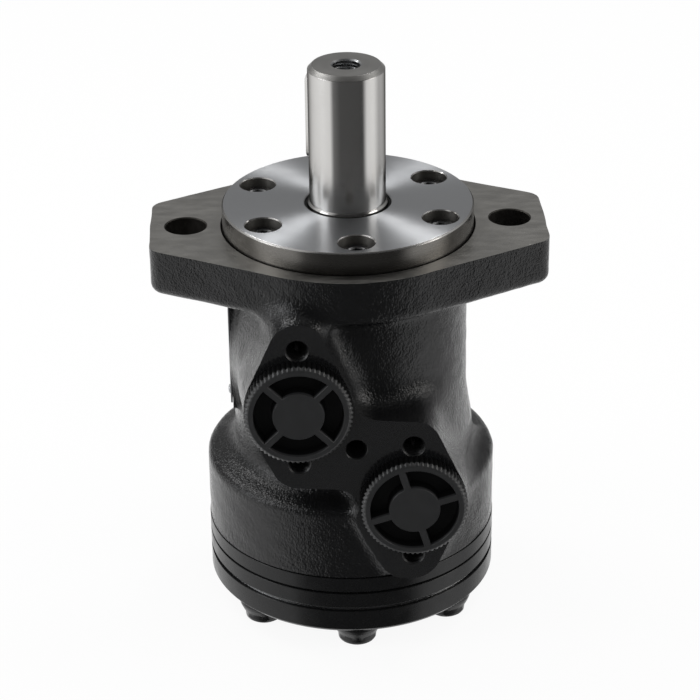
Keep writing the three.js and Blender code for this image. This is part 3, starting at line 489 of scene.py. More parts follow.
for name, (dark, light, roughness, size, depth, anisotropy) in turnedSteels.items():
    finishLooks[name] = {
        "dark": dark, "light": light, "roughness": roughness, "tint": ("clouded", size),
        "span": (0.35, 0.65), "bumps": [(depth, "rings", size)],
        "sockets": {"Metallic": 1.0, "Anisotropic": anisotropy, "Anisotropic Rotation": 0.25},
    }
finishLooks["hardened_steel"]["slot"] = "hard_steel"
finishLooks["ground_shaft_steel"]["slot"] = "ground_steel"
grazing = (0.08, 0.08, 0.08, 1)  # the ground shaft is dark where it is seen edge on
finishLooks["ground_shaft_steel"]["sockets"]["Specular Tint"] = grazing


# A material from its look. A highlight on turned steel is stretched across the rings by the
# shader's anisotropy, a quarter turn off a tangent that runs round the axis. The plugs get painted
# shade: their colour and specular level darken with the distance behind the front, for their pockets.
def makeFinish(name, look):
    material = startMaterial(name)
    tree = material.node_tree
    scale = {0: node(tree, "TexCoord").outputs["Object"], 1: (1 / mm, 1 / mm, 1 / mm)}
    place = node(tree, "VectorMath", scale, operation="MULTIPLY").outputs[0]
    tint = layers[look["tint"][0]](tree, place, *look["tint"][1:])
    kind, *sizes = look.get("gloss", look["tint"])
    gloss = layers[kind](tree, place, *sizes) if "gloss" in look else tint
    sockets = dict(look.get("sockets", {}))
    sockets["Roughness"] = eased(tree, gloss, *look.get("span", (0.3, 0.7)), *look["roughness"])
    for depth, kind, *sizes in look["bumps"]:
        facts = {"Height": layers[kind](tree, place, *sizes), "Distance": depth * mm, "Strength": 1.0}
        if "Normal" in sockets:
            facts["Normal"] = sockets["Normal"]
        sockets["Normal"] = node(tree, "Bump", facts).outputs["Normal"]
    if "contrast" in look:
        tint = reckon(tree, "MULTIPLY", tint, look["contrast"], True)
    shades = {0: tint, 6: (*look["dark"], 1), 7: (*look["light"], 1)}
    sockets["Base Color"] = node(tree, "Mix", shades, data_type="RGBA").outputs[2]
    if "Anisotropic" in sockets:
        sockets["Tangent"] = node(tree, "Tangent", direction_type="RADIAL", axis="Z").outputs[0]
    # painted shade in the plugs' pockets: colour and specular level darken by the distance behind the plug's
    # front
    if "deep" in look:
        front = float(nodeBox("port_plug_a")[0][1])
        inset = reckon(tree, "SUBTRACT", node(tree, "SeparateXYZ", {0: place}).outputs[1], front)
        paintedRecessShade = eased(tree, inset, *look["inset"], 1.0, look["deep"])
        scaled = node(tree, "VectorMath", {0: sockets["Base Color"], 3: paintedRecessShade}, operation="SCALE")
        sockets["Base Color"] = scaled.outputs[0]
        sockets["Specular IOR Level"] = reckon(tree, "MULTIPLY", paintedRecessShade, 0.5)
    shader = node(tree, "BsdfPrincipled", sockets)
    node(tree, "OutputMaterial", {"Surface": shader.outputs[0]}, is_active_output=True)
    return material


finishes = {name: makeFinish(name, look) for name, look in finishLooks.items()}
print(len(finishes), "finishes made")


# Distance from each grid point to a closed line, less than zero inside: the least over its
# edges, with the sign from how often a ray crosses them
def outlineDistance(outline, u, v):
    pu, pv = np.broadcast_arrays(u, v)
    best = np.full(pu.shape, 1e9)
    crossings = np.zeros(pu.shape, bool)
    for (ax, ay), (bx, by) in zip(outline, np.roll(outline, -1, 0)):
        ex, ey = bx - ax, by - ay
        length = ex * ex + ey * ey
        if length < 1e-12:
            continue
        along = np.clip(((pu - ax) * ex + (pv - ay) * ey) / length, 0, 1)
        best = np.minimum(best, (pu - ax - along * ex) ** 2 + (pv - ay - along * ey) ** 2)
        if ey != 0:
            passed = (ay > pv) != (by > pv)
            crossings ^= passed & (pu < ax + ex * (pv - ay) / ey)
    return np.where(crossings, -1, 1) * np.sqrt(best)


# Union of two distance fields, with a round of this radius in the corner between them
def filletJoin(a, b, radius):
    corner = np.hypot(np.maximum(radius - a, 0), np.maximum(radius - b, 0))
    return np.maximum(radius, np.minimum(a, b)) - corner


# What two fields have in common, with the edge between them rounded
def roundMeet(a, b, radius):
    edge = np.hypot(np.maximum(a + radius, 0), np.maximum(b + radius, 0))
    return np.minimum(np.maximum(a + radius, b + radius), 0) + edge - radius


# Smooth uneven field between about -1 and 1: a sum of sines in several directions
def ripple(x, y, z, size, seed):
    rng = np.random.default_rng(seed)
    total, waves, level = 0, 7, 3.2
    for _ in range(waves):
        direction = rng.normal(size=3)
        direction *= 2 * pi / size * rng.uniform(0.6, 1.5) / np.linalg.norm(direction)
        start = rng.uniform(0, 2 * pi)
        total = total + np.sin(x * direction[0] + y * direction[1] + z * direction[2] + start)
    return total / level


# A grid's value at any point, by straight-line shares between the eight values round it
def sampled(field, p):
    cell = np.clip(np.floor(p).astype(int), 0, np.array(field.shape) - 2)
    f = p - cell
    value = 0
    for corner in np.ndindex(2, 2, 2):
        share = np.where(corner, f, 1 - f).prod(1)
        value = value + share * field[tuple((cell + corner).T)]
    return value


# Surface where a field on a grid passes zero: each cell that it crosses gets one point, the mean
# of the crossings on the cell's edges, and each crossed grid edge gets the quad of its four
# cells. Two steps along the field's slope then bring each point onto the surface.
def netSurface(name, field, low, step):
    inside = field < 0
    shape = np.array(field.shape) - 1
    total = np.zeros((*shape, 3), np.float32)
    count = np.zeros(shape, np.float32)

    def cellBeside(edge, axis, du, dv):
        cell = edge.copy()
        cell[:, [k for k in range(3) if k != axis]] -= (du, dv)
        return cell

    edges = []
    for axis in range(3):
        first, second = [slice(None)] * 3, [slice(None)] * 3
        first[axis], second[axis] = slice(None, -1), slice(1, None)
        first, second = tuple(first), tuple(second)
        crossed = inside[first] != inside[second]
        fa, fb = field[first][crossed], field[second][crossed]
        edge = np.argwhere(crossed)
        position = edge.astype(np.float32)
        position[:, axis] += (fa / (fa - fb)).astype(np.float32)
        edges.append((axis, edge, inside[first][crossed]))
        for du, dv in np.ndindex(2, 2):
            cell = cellBeside(edge, axis, du, dv)
            held = np.all((cell >= 0) & (cell < shape), 1)
            at = tuple(cell[held].T)
            np.add.at(total, at, position[held])
            np.add.at(count, at, 1)
    used = count > 0
    number = np.full(shape, -1, np.int32)
    number[used] = np.arange(used.sum())
    points = total[used] / count[used][:, None]
    quads = []
    for axis, edge, startsInside in edges:
        u, v = [k for k in range(3) if k != axis]
        held = (edge[:, u] > 0) & (edge[:, v] > 0) & (edge[:, u] < shape[u]) & (edge[:, v] < shape[v])
        beside = [cellBeside(edge[held], axis, du, dv) for du, dv in ((1, 1), (0, 1), (0, 0), (1, 0))]
        quad = np.stack([number[tuple(cell.T)] for cell in beside], -1)
        kept = startsInside[held] if axis != 1 else ~startsInside[held]
        quads.append(np.where(kept[:, None], quad, quad[:, ::-1]))
    halfCell, stride, flattest = 0.5, 0.8, 1e-6
    for _ in range(2):
        ahead = [sampled(field, points + d) - sampled(field, points - d) for d in np.eye(3) * halfCell]
        slope = np.stack(ahead, -1)
        miss = sampled(field, points) / np.maximum((slope ** 2).sum(1), flattest)
        points = points - stride * slope * miss[:, None]
    return makePiece(name, points * step + np.asarray(low), [np.concatenate(quads)])


casting = {
    "step": 0.95,             # size of the grid that its skin is found on
    "neckRadius": 39.45, "shoulderHeight": 24.7, "shoulderRise": 3.3, "rimRound": 2.0, "neckFillet": 4.0,
    "flangeThickness": 16, "flangeEdgeRound": 3.5, "flangeFillet": 5.0,
    "earCorner": 6, "earFlatHalf": 15, "waistRadius": 47.5,
    "lobeRadius": 17.5, "bossRadius": 9.2, "studRise": 20.3, "webFillet": 9, "webLean": 0.147,
    "padFillet": 6.5, "padDraft": 0.09, "padReach": 3,
    "plateFlat": 39.7, "plateMargin": 1.2, "plateFillet": 1.5,
    "drainBoss": 10.5, "drainProud": 1.6, "drainFillet": 3,
    "waviness": (0.10, 22, 3), "roughness": (0.05, 6.5, 8),  # height, size and seed of the sand's marks
    "allowance": 1.5, "padAllowance": 1.2,                   # what the blank has more than the faces
}


def flangeLine():
    c = casting
    corner, waist = c["earCorner"], (0, 0, c["waistRadius"])
    x, y = earEnd - corner - 0.1, c["earFlatHalf"]  # leaves room for the unevenness
    return beltOutline([
        (x, -y, corner), (x, y, corner), waist, (-x, y, corner), (-x, -y, corner), waist,
    ], 16)


def padLine():
    c = casting
    (ax, _, az), (bx, _, bz) = ports["a"], ports["b"]
    lobe, boss, rise = c["lobeRadius"], c["bossRadius"], c["studRise"]
    reach, hollow = c["lobeRadius"] + c["webFillet"], -c["webFillet"]
    upper = (ax + reach * math.cos(c["webLean"]), az + reach * math.sin(c["webLean"]))
    lower = (ax + bx - upper[0], az + bz - upper[1])
    return beltOutline([
        (bx, bz - rise, boss), (bx, bz, lobe), (bx, bz + rise, boss), (*upper, hollow),
        (ax, az, lobe), (ax, az + rise, boss), (ax, az, lobe), (ax, az - rise, boss),
        (*lower, hollow), (bx, bz, lobe),
    ], 14)


# The casting as one field: neck, barrel, flange, port pad, plate flat and drain boss, joined with
# fillets, and a little unevenness from the sand
def castingField(x, y, z):
    c = casting
    r = np.hypot(x, y)
    rise = (barrelRadius - r) / (barrelRadius - c["neckRadius"]) * c["shoulderRise"]
    barrel = roundMeet(r - barrelRadius, z - (base + c["shoulderHeight"]) - rise, c["rimRound"])
    body = filletJoin(r - c["neckRadius"], barrel, c["neckFillet"])
    flange = outlineDistance(flangeLine(), x[:, :, 0], y[:, :, 0])[:, :, None]
    flange = roundMeet(flange, mountingFace - c["flangeThickness"] - z, c["flangeEdgeRound"])
    body = filletJoin(body, flange, c["flangeFillet"])
    pad = outlineDistance(padLine(), x[:, 0, :], z[:, 0, :])[:, None, :] - c["padDraft"] * (y + portFace)
    pad = np.maximum(pad, np.maximum(y, -y - portFace - c["padReach"]))
    body = filletJoin(body, pad, c["padFillet"])
    plateLow, plateHigh = nodeBox("name_plate")
    middle, half = (plateLow + plateHigh) / 2, (plateHigh - plateLow) / 2 + c["plateMargin"]
    edge = np.maximum(np.abs(y) - half[1], np.abs(z - middle[2]) - half[2])
    body = filletJoin(body, np.maximum(edge, np.maximum(-x - c["plateFlat"], x)), c["plateFillet"])
    proud = y - c["neckRadius"] - c["drainProud"]
    boss = np.maximum(np.hypot(x, z - drainHeight) - c["drainBoss"], np.maximum(proud, -y))
    body = filletJoin(body, boss, c["drainFillet"])
    sand = sum(height * (1 + ripple(x, y, z, size, seed))
               for height, size, seed in (c["waviness"], c["roughness"]))
    return np.maximum(body + sand, base - c["allowance"] - z)


def castingBlank():
    step, beside, above = casting["step"], 2, 3.0  # room that the grid leaves round the casting
    low = np.array([-earEnd - beside, -portFace - beside, base - above])
    high = np.array([earEnd + beside, barrelRadius + beside, mountingFace + above])
    counts = np.ceil((high - low) / step).astype(int) + 1
    axes = [low[k] + np.arange(counts[k]) * step for k in range(3)]
    x, y, z = [np.broadcast_to(v, counts) for v in np.meshgrid(*axes, indexing="ij", sparse=True)]
    field = np.maximum(castingField(x, y, z), z - mountingFace - casting["allowance"])
    field = np.maximum(field, -y - portFace - casting["padAllowance"]).astype(np.float32)
    return netSurface("casting", field, low, step)


# A drill: a rod on z from low to high, with a point below it and a flare that chamfers its mouth
def drill(radius, low, high, flare=0.0, turns=40, point=0.55):
    mouth = [(radius, high - flare), (radius + 2 * flare, high + flare)] if flare else [(radius, high)]
    return lathe("drill", [(0, low - point * radius), (radius, low), *mouth, (0, high + flare)], turns)


def drilled(spots, *sizes, **options):  # one drill at each spot's x and y
    return [shifted(drill(*sizes, **options), spot[0], spot[1]) for spot in spots]


# A tap: the drill of a threaded hole, whose wall carries the thread's ridges outwards
def tap(radius, depth, pitch, low, high, flare, turns, step, mouth=()):
    wall = [(radius, low), *(mouth or [(radius, high - flare)])]
    corners = [(0, low - 0.55 * radius), *wall, (wall[-1][0] + 2 * flare, high + flare), (0, high + flare)]
    threadTop = wall[1][1]
    profile = threadedProfile([(*corner, 0) for corner in corners], low, threadTop, step)
    return lathe("tap", profile, turns, threadWave(pitch, depth, low + 1, threadTop - 0.1))


openings = {
    "bore": 19.06, "annulus": 21.55, "annulusHalf": 5, "bearing": 27, "bearingDrop": 16.5,
    "recess": 41.62, "recessFlare": 0.3, "sealRing": (45.15, 47.25, 1.4), "foot": 0.35,
    "bolt": (4.1, 14), "screw": (3.1, 1),  # radius and depth, or what the hole has to spare below
    "passage": (2.5, 27.6, 7),             # radius, circle and count
    "port": (10.1, 0.8, 1.814), "stud": (3.4, 0.6, 1.25),  # radius, thread's depth and pitch
    "portDepth": 16, "portMouth": (12.0, 1.6), "portFlare": 0.3, "studDepth": 15, "studFlare": 0.45,
    "gallery": 4, "centre": (3.4, 12), "centreRise": 2, "drain": (5.9, 12), "leak": 2.5, "flare": 0.3,
    "earHole": 6.75, "earHoleX": 53.2, "earFlare": 0.35, "earSpotface": 2.8, "plateGap": (0.8, 0.02),
}


def cutFaces(piece, far=90):  # trims the blank to its milled faces
    carve(
        piece,
        block("trim", (-far, -far, mountingFace), (far, far, mountingFace + far)),
        block("trim", (-far, -far, -far), (far, far, base)),
        block("trim", (-far, -far, -far), (far, -portFace, mountingFace + 2 * far)),
    )


def cutBores(piece):
    o = openings
    half, bore, groove, bearing = o["annulusHalf"], o["bore"], o["annulus"], o["bearing"]
    steps = [(r, ports[side][2] + way * half) for side in "ba"
             for r, way in ((bore, -1), (groove, -1), (groove, 1), (bore, 1))]
    ledge, floor = mountingFace - o["bearingDrop"], coverBase - 0.02
    wide, flare = o["recess"], o["recessFlare"]
    inner, outer, deep = o["sealRing"]
    foot, low = barrelRadius - o["foot"] - 0.5, base - 0.5
    carve(
        piece,
        lathe("bore", [(0, base - 1), (bore, base - 1), *steps, (bore, ledge), (bearing, ledge),
                       (bearing, coverBase + 1), (0, coverBase + 1)], 128),
        lathe("recess", [(0, floor), (wide, floor), (wide, mountingFace - flare),
                         (wide + 2 * flare, mountingFace + flare), (0, mountingFace + flare)], 192),
        lathe("ring", [(inner, base - 1), (outer, base - 1), (outer, base + deep), (inner, base + deep)]),
        lathe("foot", [(foot, low), (barrelRadius + 2, low), (barrelRadius + 2, base - o["foot"] + 2)]),
    )


def cutRoundHoles(piece):  # bolt and screw holes, and the seven passages to the gear set
    o = openings
    radius, deep = o["bolt"]
    bolts = drilled(boltSpots, radius, base - 1, base + deep, turns=32)
    radius, spare = o["screw"]
    screws = drilled(screwSpots, radius, nodeBox("cover_screw_1")[0][2] - spare, coverBase + 1, turns=32)
    carve(piece, fused("bolts", bolts), fused("screws", screws))
    radius, reach, count = o["passage"]
    passages, windows = [], []
    for turn in around(count, -pi / 2):
        passage = shifted(drill(radius, base - 1, portsMiddle + radius, turns=24), reach)
        window = shifted(drill(radius, o["bore"] - 1, reach, turns=24), z=portsMiddle, turn=sideways)
        passages.append(shifted(passage, turn=turn))
        windows.append(shifted(window, turn=turn))
    carve(piece, fused("passages", passages), fused("windows", windows))


def cutPorts(piece):
    o = openings
    radius, depth, pitch = o["port"]
    mouth, lip = o["portMouth"]
    flare, floor = o["portFlare"], portFace - o["portDepth"]
    ends, galleries, studs = [], [], []
    for x, _, z in ports.values():
        walls = [(radius, portFace - lip), (mouth, portFace - lip), (mouth, portFace - flare)]
        cutter = tap(radius, depth, pitch, floor, portFace, flare, 64, 0.3, walls)
        ends.append(shifted(cutter, x, 0, z, towardsPorts))
        rod = drill(o["gallery"], o["bore"] - 2, math.hypot(x, floor + 1), turns=32, point=0)
        galleries.append(shifted(rod, 0, 0, z, spun(math.atan2(x, floor + 1)) @ towardsPorts))
        for rise in (-casting["studRise"], casting["studRise"]):
            cutter = tap(*o["stud"], portFace - o["studDepth"], portFace, o["studFlare"], 24, 0.26)
            studs.append(shifted(cutter, x, 0, z + rise, towardsPorts))
    carve(piece, fused("ends", ends), fused("galleries", galleries), fused("studs", studs))


def cutSmall(piece, far=90):  # the centre hole, the drain and its leak, the ear holes, the plate's flat
    o = openings
    radius, deep = o["centre"]
    centre = drill(radius, portFace - deep, portFace, o["flare"])
    shifted(centre, 0, 0, portsMiddle + o["centreRise"], towardsPorts)
    radius, deep = o["drain"]
    drain = drill(radius, drainFace - deep, drainFace, o["flare"])
    shifted(drain, 0, 0, drainHeight, towardsBack)
    leak = shifted(drill(o["leak"], o["bore"] - 1, drainFace - deep), 0, 0, drainHeight, towardsBack)
    under, top = mountingFace - casting["flangeThickness"], mountingFace
    r, e = o["earHole"], o["earFlare"]
    profile = [(0, under - 2), (r + o["earSpotface"], under - 2), (r, under + 0.8), (r, top - e),
               (r + 2 * e, top + e), (0, top + e)]
    ears = [shifted(lathe("ear", profile, 72), x) for x in (-o["earHoleX"], o["earHoleX"])]
    (_, frontY, lowZ), (reach, backY, highZ) = nodeBox("name_plate")
    side, back = o["plateGap"]
    flat = block("flat", (-far, frontY - side, lowZ - side), (reach + back, backY + side, highZ + side))
    carve(piece, fused("small", [centre, drain]), leak, fused("ears", ears), flat)


# Which finish each face of the casting takes, by where it lies and the way it faces. Each test
# reaches a little past its hole's radius, to take in the thread and the flare.
def castingChoice(piece):
    o = openings
    middle, normal, r = faceFacts(piece)
    x, y, z = middle.T
    choice = np.zeros(len(middle), np.int32)
    inner = (r < o["recess"] + 1) & (z > coverBase - 1)
    inner |= (r < o["bearing"] + 1) | ((normal[:, 2] < -0.9) & (z < base + 2))
    ears = np.hypot(np.abs(x) - o["earHoleX"], y) < o["earHole"] + 1.2
    ears &= z > mountingFace - casting["flangeThickness"] - 1
    inner |= ears & (np.abs(normal[:, 2]) < 0.97)
    inner |= (np.hypot(x, z - drainHeight) < o["drain"][0] + 0.9) & (y > 0) & (normal[:, 1] < 0.9)
    choice[inner] = castingFinishes.index("bored_iron")
    choice[(normal[:, 2] > 0.99) & (z > mountingFace - 0.05)] = castingFinishes.index("milled_iron")
    threads = np.hypot(x, z - portsMiddle - o["centreRise"]) < o["centre"][0] + 0.8
    for px, _, pz in ports.values():
        threads |= np.hypot(x - px, z - pz) < o["portMouth"][0] + 0.8
        for rise in (-casting["studRise"], casting["studRise"]):
            threads |= np.hypot(x - px, z - pz - rise) < o["stud"][0] + 1.4
    choice[threads & (y < -o["bearing"] - 1)] = castingFinishes.index("painted_hole")
    choice[(normal[:, 1] < -0.99) & (y < -portFace + 0.05)] = castingFinishes.index("pad_paint")
    return choice


castingFinishes = ["cast_paint", "milled_iron", "pad_paint", "bored_iron", "painted_hole"]
casing = castingBlank()
print("casting blank", len(casing.data.polygons), "faces")
for cut in (cutFaces, cutBores, cutRoundHoles, cutPorts, cutSmall):
    cut(casing)
dress(finishEdges(casing, 34), castingFinishes, castingChoice(casing))
seat(casing, "casing", "housing")
print("casting cut", len(casing.data.polygons), "faces")


def ringCorners(inner, outer, low, high, edge):
    return [(inner, low, edge), (outer, low, edge), (outer, high, edge), (inner, high, edge)]


cover = {
    "edge": 0.5, "edgeRound": 0.1, "bore": 14.1, "boreEdge": 0.35, "sealPocket": 20, "sealShelf": 8.15,
    "dustPocket": 16.6, "dustDrop": 2.4, "dustWidth": 3.7,
    "ringFloor": 39.4, "ringBase": 2, "ringTop": 4,
    "counterbore": 5.85, "counterboreDepth": 9, "counterboreFlare": 0.32, "screwHole": 3.3,
}


def makeCover():
    c = cover
    low, top, rim = coverBase, coverFace, coverRadius
    bore, edge, soft = c["bore"], c["edge"], c["edgeRound"]
    dust, shelf = top - c["dustDrop"], low + c["sealShelf"]
    ringLow, ringHigh = low + c["ringBase"], low + c["ringTop"]
    piece = turned("cover", [
        (c["sealPocket"], low, 0.3), (rim, low, 0.3), (rim, ringLow, 0.08), (c["ringFloor"], ringLow, 0.15),
        (c["ringFloor"], ringHigh, 0.15), (rim, ringHigh, 0.08), (rim, top - edge, soft),
        (rim - edge, top, soft), (bore + c["boreEdge"], top, 0.1), (bore, top - c["boreEdge"], 0.1),
        (bore, dust, 0.05), (c["dustPocket"], dust, 0.1), (c["dustPocket"], dust - c["dustWidth"], 0.1),
        (bore, dust - c["dustWidth"], 0.05), (bore, shelf, 0.05), (c["sealPocket"], shelf, 0.1),
    ], 224)
    floor, flare = top - c["counterboreDepth"], c["counterboreFlare"]
    wide, narrow = c["counterbore"], c["screwHole"]
    profile = [(0, low - 1), (narrow, low - 1), (narrow, floor), (wide, floor), (wide, top - flare),
               (wide + 2 * flare, top + flare), (0, top + flare)]
    holes = [shifted(lathe("counterbore", profile, 64), x, y) for x, y, _ in screwSpots]
    carve(piece, fused("holes", holes))
    finishEdges(piece, 25)
    middle, normal, r = faceFacts(piece)
    x, y, z = middle.T
    inHole = np.zeros(len(r), bool)
    for spotX, spotY, _ in screwSpots:
        inHole |= np.hypot(x - spotX, y - spotY) < wide + 2.2 * flare
    flatTop = (normal[:, 2] > 0.99) & (z > top - 0.05)
    onRim = r > rim - edge - 0.01
    face, side, hole, inside, paintedGlintEdge = range(5)
    # the rim takes the darker copy of the turned steel, painted shade on the cover's side
    choice = np.where(onRim, side, face)
    choice[(r < c["sealPocket"] + 0.5) & ~flatTop] = inside
    # the counterbores take the darker steel, painted shade in the holes
    choice[inHole & ~flatTop] = hole
    # painted highlight: the counterbores' flares and the rim's chamfer take the lighter, smoother ground
    # steel, a bright line along these real chamfers
    choice[inHole & (z > top - flare - 0.02)] = paintedGlintEdge
    choice[onRim & (z > top - edge)] = paintedGlintEdge
    choice[flatTop] = face
    dress(piece, ["turned_cover_face", "turned_cover_side_shaded", "counterbore_steel", "hardened_steel",
                  "ground_shaft_steel"], choice)
    seat(piece, "casing", "front_cover")


# A hexagon's line at any angle, as a share of its corner radius
def hexLine(angle):
    return math.cos(pi / 6) / np.cos((angle + 1e-9) % (pi / 3) - pi / 6)


screw = {
    "length": 14, "shank": 3.0, "head": 5.0, "headHeight": 6, "headEdge": 0.45,
    "socket": 2.9, "socketDepth": 3, "socketEdge": 0.35, "knurls": 36, "knurlDepth": 0.12,
}


def makeScrew(name, x, y):
    s = screw
    shank, head, socket, foot, top = s["shank"], s["head"], s["socket"], -s["length"], s["headHeight"]
    deep, edge = top - s["socketDepth"], s["headEdge"]

    def wave(angle, r, z):
        inSocket = (r < socket + 0.05) & (z > 0.5)
        onKnurl = (r > head - 0.02) & (z > 0.6) & (z < top - 0.9)
        knurl = np.where(onKnurl, s["knurlDepth"] * (np.sin(s["knurls"] * angle) > 0), 0)
        return np.where(inSocket, r * hexLine(angle) - r, 0) - knurl

    piece = turned(name, [
        (0, foot, 0), (shank - 0.6, foot, 0.1), (shank, foot + 0.6, 0.1), (shank, 0, 0.15), (head, 0, 0.2),
        (head, 0.62, 0), (head, top - 0.92, 0), (head, top - edge, 0.2), (head - edge, top, 0.12),
        (socket + s["socketEdge"], top, 0.08), (socket, top - s["socketEdge"], 0), (socket, deep, 0),
        (socket * 0.55, deep, 0), (0, deep - 0.7, 0),
    ], 144, 3, wave)
    shifted(piece, x, y, coverFace - cover["counterboreDepth"], spun(math.atan2(y, x)))
    complete(piece, "black_steel", "casing", name, 30)


shaft = {
    "radius": 12.5, "chamfer": 1.4, "collar": 13.1, "collarRise": 0.5, "collarEdge": 0.45,
    "spool": 19, "spoolTop": 112, "waist": 16.5, "grooveHalf": 5, "leakDepth": 1, "leakHalf": 2.5,
    "cavity": 11.5, "cavityTop": 74, "splineTop": 93,
    "splineTeeth": 12, "splineTip": 9.65, "splineRoot": 8.15, "splineHalf": 1.5, "splineTaper": 1.25,
    "slots": 12, "slotWidth": 3.6, "slotFloor": 16.8, "slotOverlap": 5.5,
    "endHole": (4.5, 0.2, 1.25), "endDepth": 20, "endFlare": 0.5,
    "keyHalf": 4, "keyRun": 12, "keyFoot": 8.5, "keyTop": 15.5, "keyDirection": 2.304, "keyGap": 0.1,
}


# Outline of a spline: each tooth is four points, two at the root and two at the tip
def splineLine(grow=0.0):
    s = shaft
    root, tip, half = s["splineRoot"] + grow, s["splineTip"] + grow, s["splineHalf"] + grow
    middle = np.arange(s["splineTeeth"])[:, None] / s["splineTeeth"] * 2 * pi
    radius = np.array([root, tip, tip, root])[None, :]
    atTip = half / tip / s["splineTaper"]
    angle = middle + np.array([-half / root, -atTip, atTip, half / root])[None, :]
    return np.stack([radius * np.cos(angle), radius * np.sin(angle)], -1).reshape(-1, 2)


# The key's bar, or the keyway's cutter: a stadium in the plane that faces its direction
def keyBar(name, gap, levels):
    half, run, d = shaft["keyHalf"] + gap, shaft["keyRun"], shaft["keyDirection"]

    def outline(grow):
        return beltOutline([(0, run, half + grow), (0, -run, half + grow)], 24)

    bar = prismStack(name, outline, levels)
    tangent, outwards = (-math.sin(d), math.cos(d), 0), (math.cos(d), math.sin(d), 0)
    turn = Matrix((tangent, (0, 0, 1), outwards)).transposed().to_4x4()
    return shifted(bar, 0, 0, nodeMiddle("shaft_key")[2], turn)


def makeShaft():
    s = shaft
    radius, chamfer, collar = s["radius"], s["chamfer"], s["collar"]
    spool, waist = s["spool"], s["waist"]
    end, foot, collarTop = shaftEnd, shaftBase, coverFace + s["collarRise"]
    lowPort, highPort = ports["b"][2], ports["a"][2]
    grooves = []
    for z, half, floor, soft in ((lowPort, s["grooveHalf"], waist, 0.4),
                                 (highPort, s["grooveHalf"], waist, 0.4),
                                 (drainHeight, s["leakHalf"], spool - s["leakDepth"], 0.3)):
        grooves += [(spool, z - half, 0.1), (floor, z - half, soft), (floor, z + half, soft),
                    (spool, z + half, 0.1)]
    piece = turned("shaft", [
        (0, foot, 0), (spool, foot, 0.4), *grooves, (spool, s["spoolTop"], 0.5), (collar, s["spoolTop"], 0.4),
        (collar, collarTop - 1.5, 0), (collar, collarTop - s["collarEdge"], 0.1),
        (radius + 0.25, collarTop, 0.1), (radius, collarTop + 0.25, 0.1), (radius, end - chamfer, 0.15),
        (radius - chamfer, end, 0.12), (0, end, 0),
    ], 192)
    carve(piece, drill(s["cavity"], foot - 1, s["cavityTop"], turns=96, point=0))
    carve(piece, prismStack("spline", splineLine, [(s["cavityTop"] - 1, 0), (s["splineTop"], 0)]))
    reach, halfSlot = s["slotOverlap"], s["slotWidth"] / 2
    slots = []
    for i, turn in enumerate(around(s["slots"])):
        low, high = ((portsMiddle - reach, highPort), (lowPort, portsMiddle + reach))[i % 2]
        box = block("slot", (s["slotFloor"], -halfSlot, low), (spool + 2, halfSlot, high))
        slots.append(shifted(box, turn=turn))
    keyway = keyBar("keyway", s["keyGap"], [(s["keyFoot"] - s["keyGap"], 0), (s["keyTop"] + 4, 0)])
    carve(piece, fused("slots", slots), keyway)
    carve(piece, tap(*s["endHole"], end - s["endDepth"], end, s["endFlare"], 48, 0.16))
    finishEdges(piece, 30)
    middle, normal, r = faceFacts(piece)
    z = middle[:, 2]
    ground, faced, inside = range(3)
    choice = np.where(z > end - chamfer + 0.02, faced, ground)
    mouth = s["endHole"][0] + s["endHole"][1] + 2 * s["endFlare"] + 0.1
    choice[((r < mouth) & (normal[:, 2] < 0.95)) | (z < coverBase)] = inside
    dress(piece, ["ground_shaft_steel", "faced_shaft_end", "hardened_steel"], choice)
    seat(piece, "shaft", "output_shaft")


def makeKey():
    foot, top = shaft["keyFoot"], shaft["keyTop"]
    levels = [(foot, -0.3), (foot + 0.3, 0), (top - 0.3, 0), (top - 0.07, -0.2), (top, -0.35)]
    complete(keyBar("key", 0, levels), "ground_shaft_steel", "shaft", "shaft_key", 40)


# Corners of the lips are (radius, rise above the foot or drop below the top, round)
seals = {
    "dustHeel": 13.5, "dustLip": ((13.75, 0, 0.1), (13.3, 0.7, 0.2), (13.5, 1.8, 0.3)),
    "shaftHeel": ((13.4, 0, 0.15), (14.6, 1.2, 0.3), (15.0, 5.0, 0.6), (18.6, 5.0, 0.5), (18.6, 0, 0.2)),
    "shaftLip": ((13.5, 0, 0.3), (13.25, 1.2, 0.2), (13.8, 2.6, 0.4)),
    "slack": 0.15, "coverRing": (39.58, 0.7), "stackRing": (45.4, 0.5),
}


def makeRubber(name, node, corners, turns=160):
    complete(turned(name, corners, turns, 4), "seal_rubber", "casing", node)


def makeSeals():
    (_, _, foot), (_, wide, top) = nodeBox("dust_seal")
    lip, shelf = cover["bore"] - seals["slack"], coverFace - cover["dustDrop"] - seals["slack"]
    makeRubber("dust_lip", "dust_seal", [
        (seals["dustHeel"], foot, 0.2), (wide, foot, 0.3), (wide, shelf, 0.3), (lip, shelf, 0.1),
        (lip, top - 0.3, 0.2), *((r, top - drop, soft) for r, drop, soft in seals["dustLip"]),
    ])
    (_, _, foot), (_, wide, top) = nodeBox("shaft_seal")
    makeRubber("shaft_lip", "shaft_seal", [
        *((r, foot + rise, soft) for r, rise, soft in seals["shaftHeel"]), (wide, foot, 0.4),
        (wide, top, 0.4), *((r, top - drop, soft) for r, drop, soft in seals["shaftLip"]),
    ])
    rows = [("cover_ring", "cover_seal", seals["coverRing"])]
    for place in ("front", "middle", "rear"):
        rows.append(("stack_ring_" + place, "body_seal_" + place, seals["stackRing"]))
    for name, node, (inner, soft) in rows:
        (_, _, low), (_, wide, high) = nodeBox(node)
        makeRubber(name, node, ringCorners(inner, wide, low, high, soft), 128)


makeCover()
for number, (x, y, _) in enumerate(screwSpots, 1):
    makeScrew("cover_screw_%d" % number, x, y)
makeShaft()
makeKey()
makeSeals()
print("cover, screws, shaft and seals made")


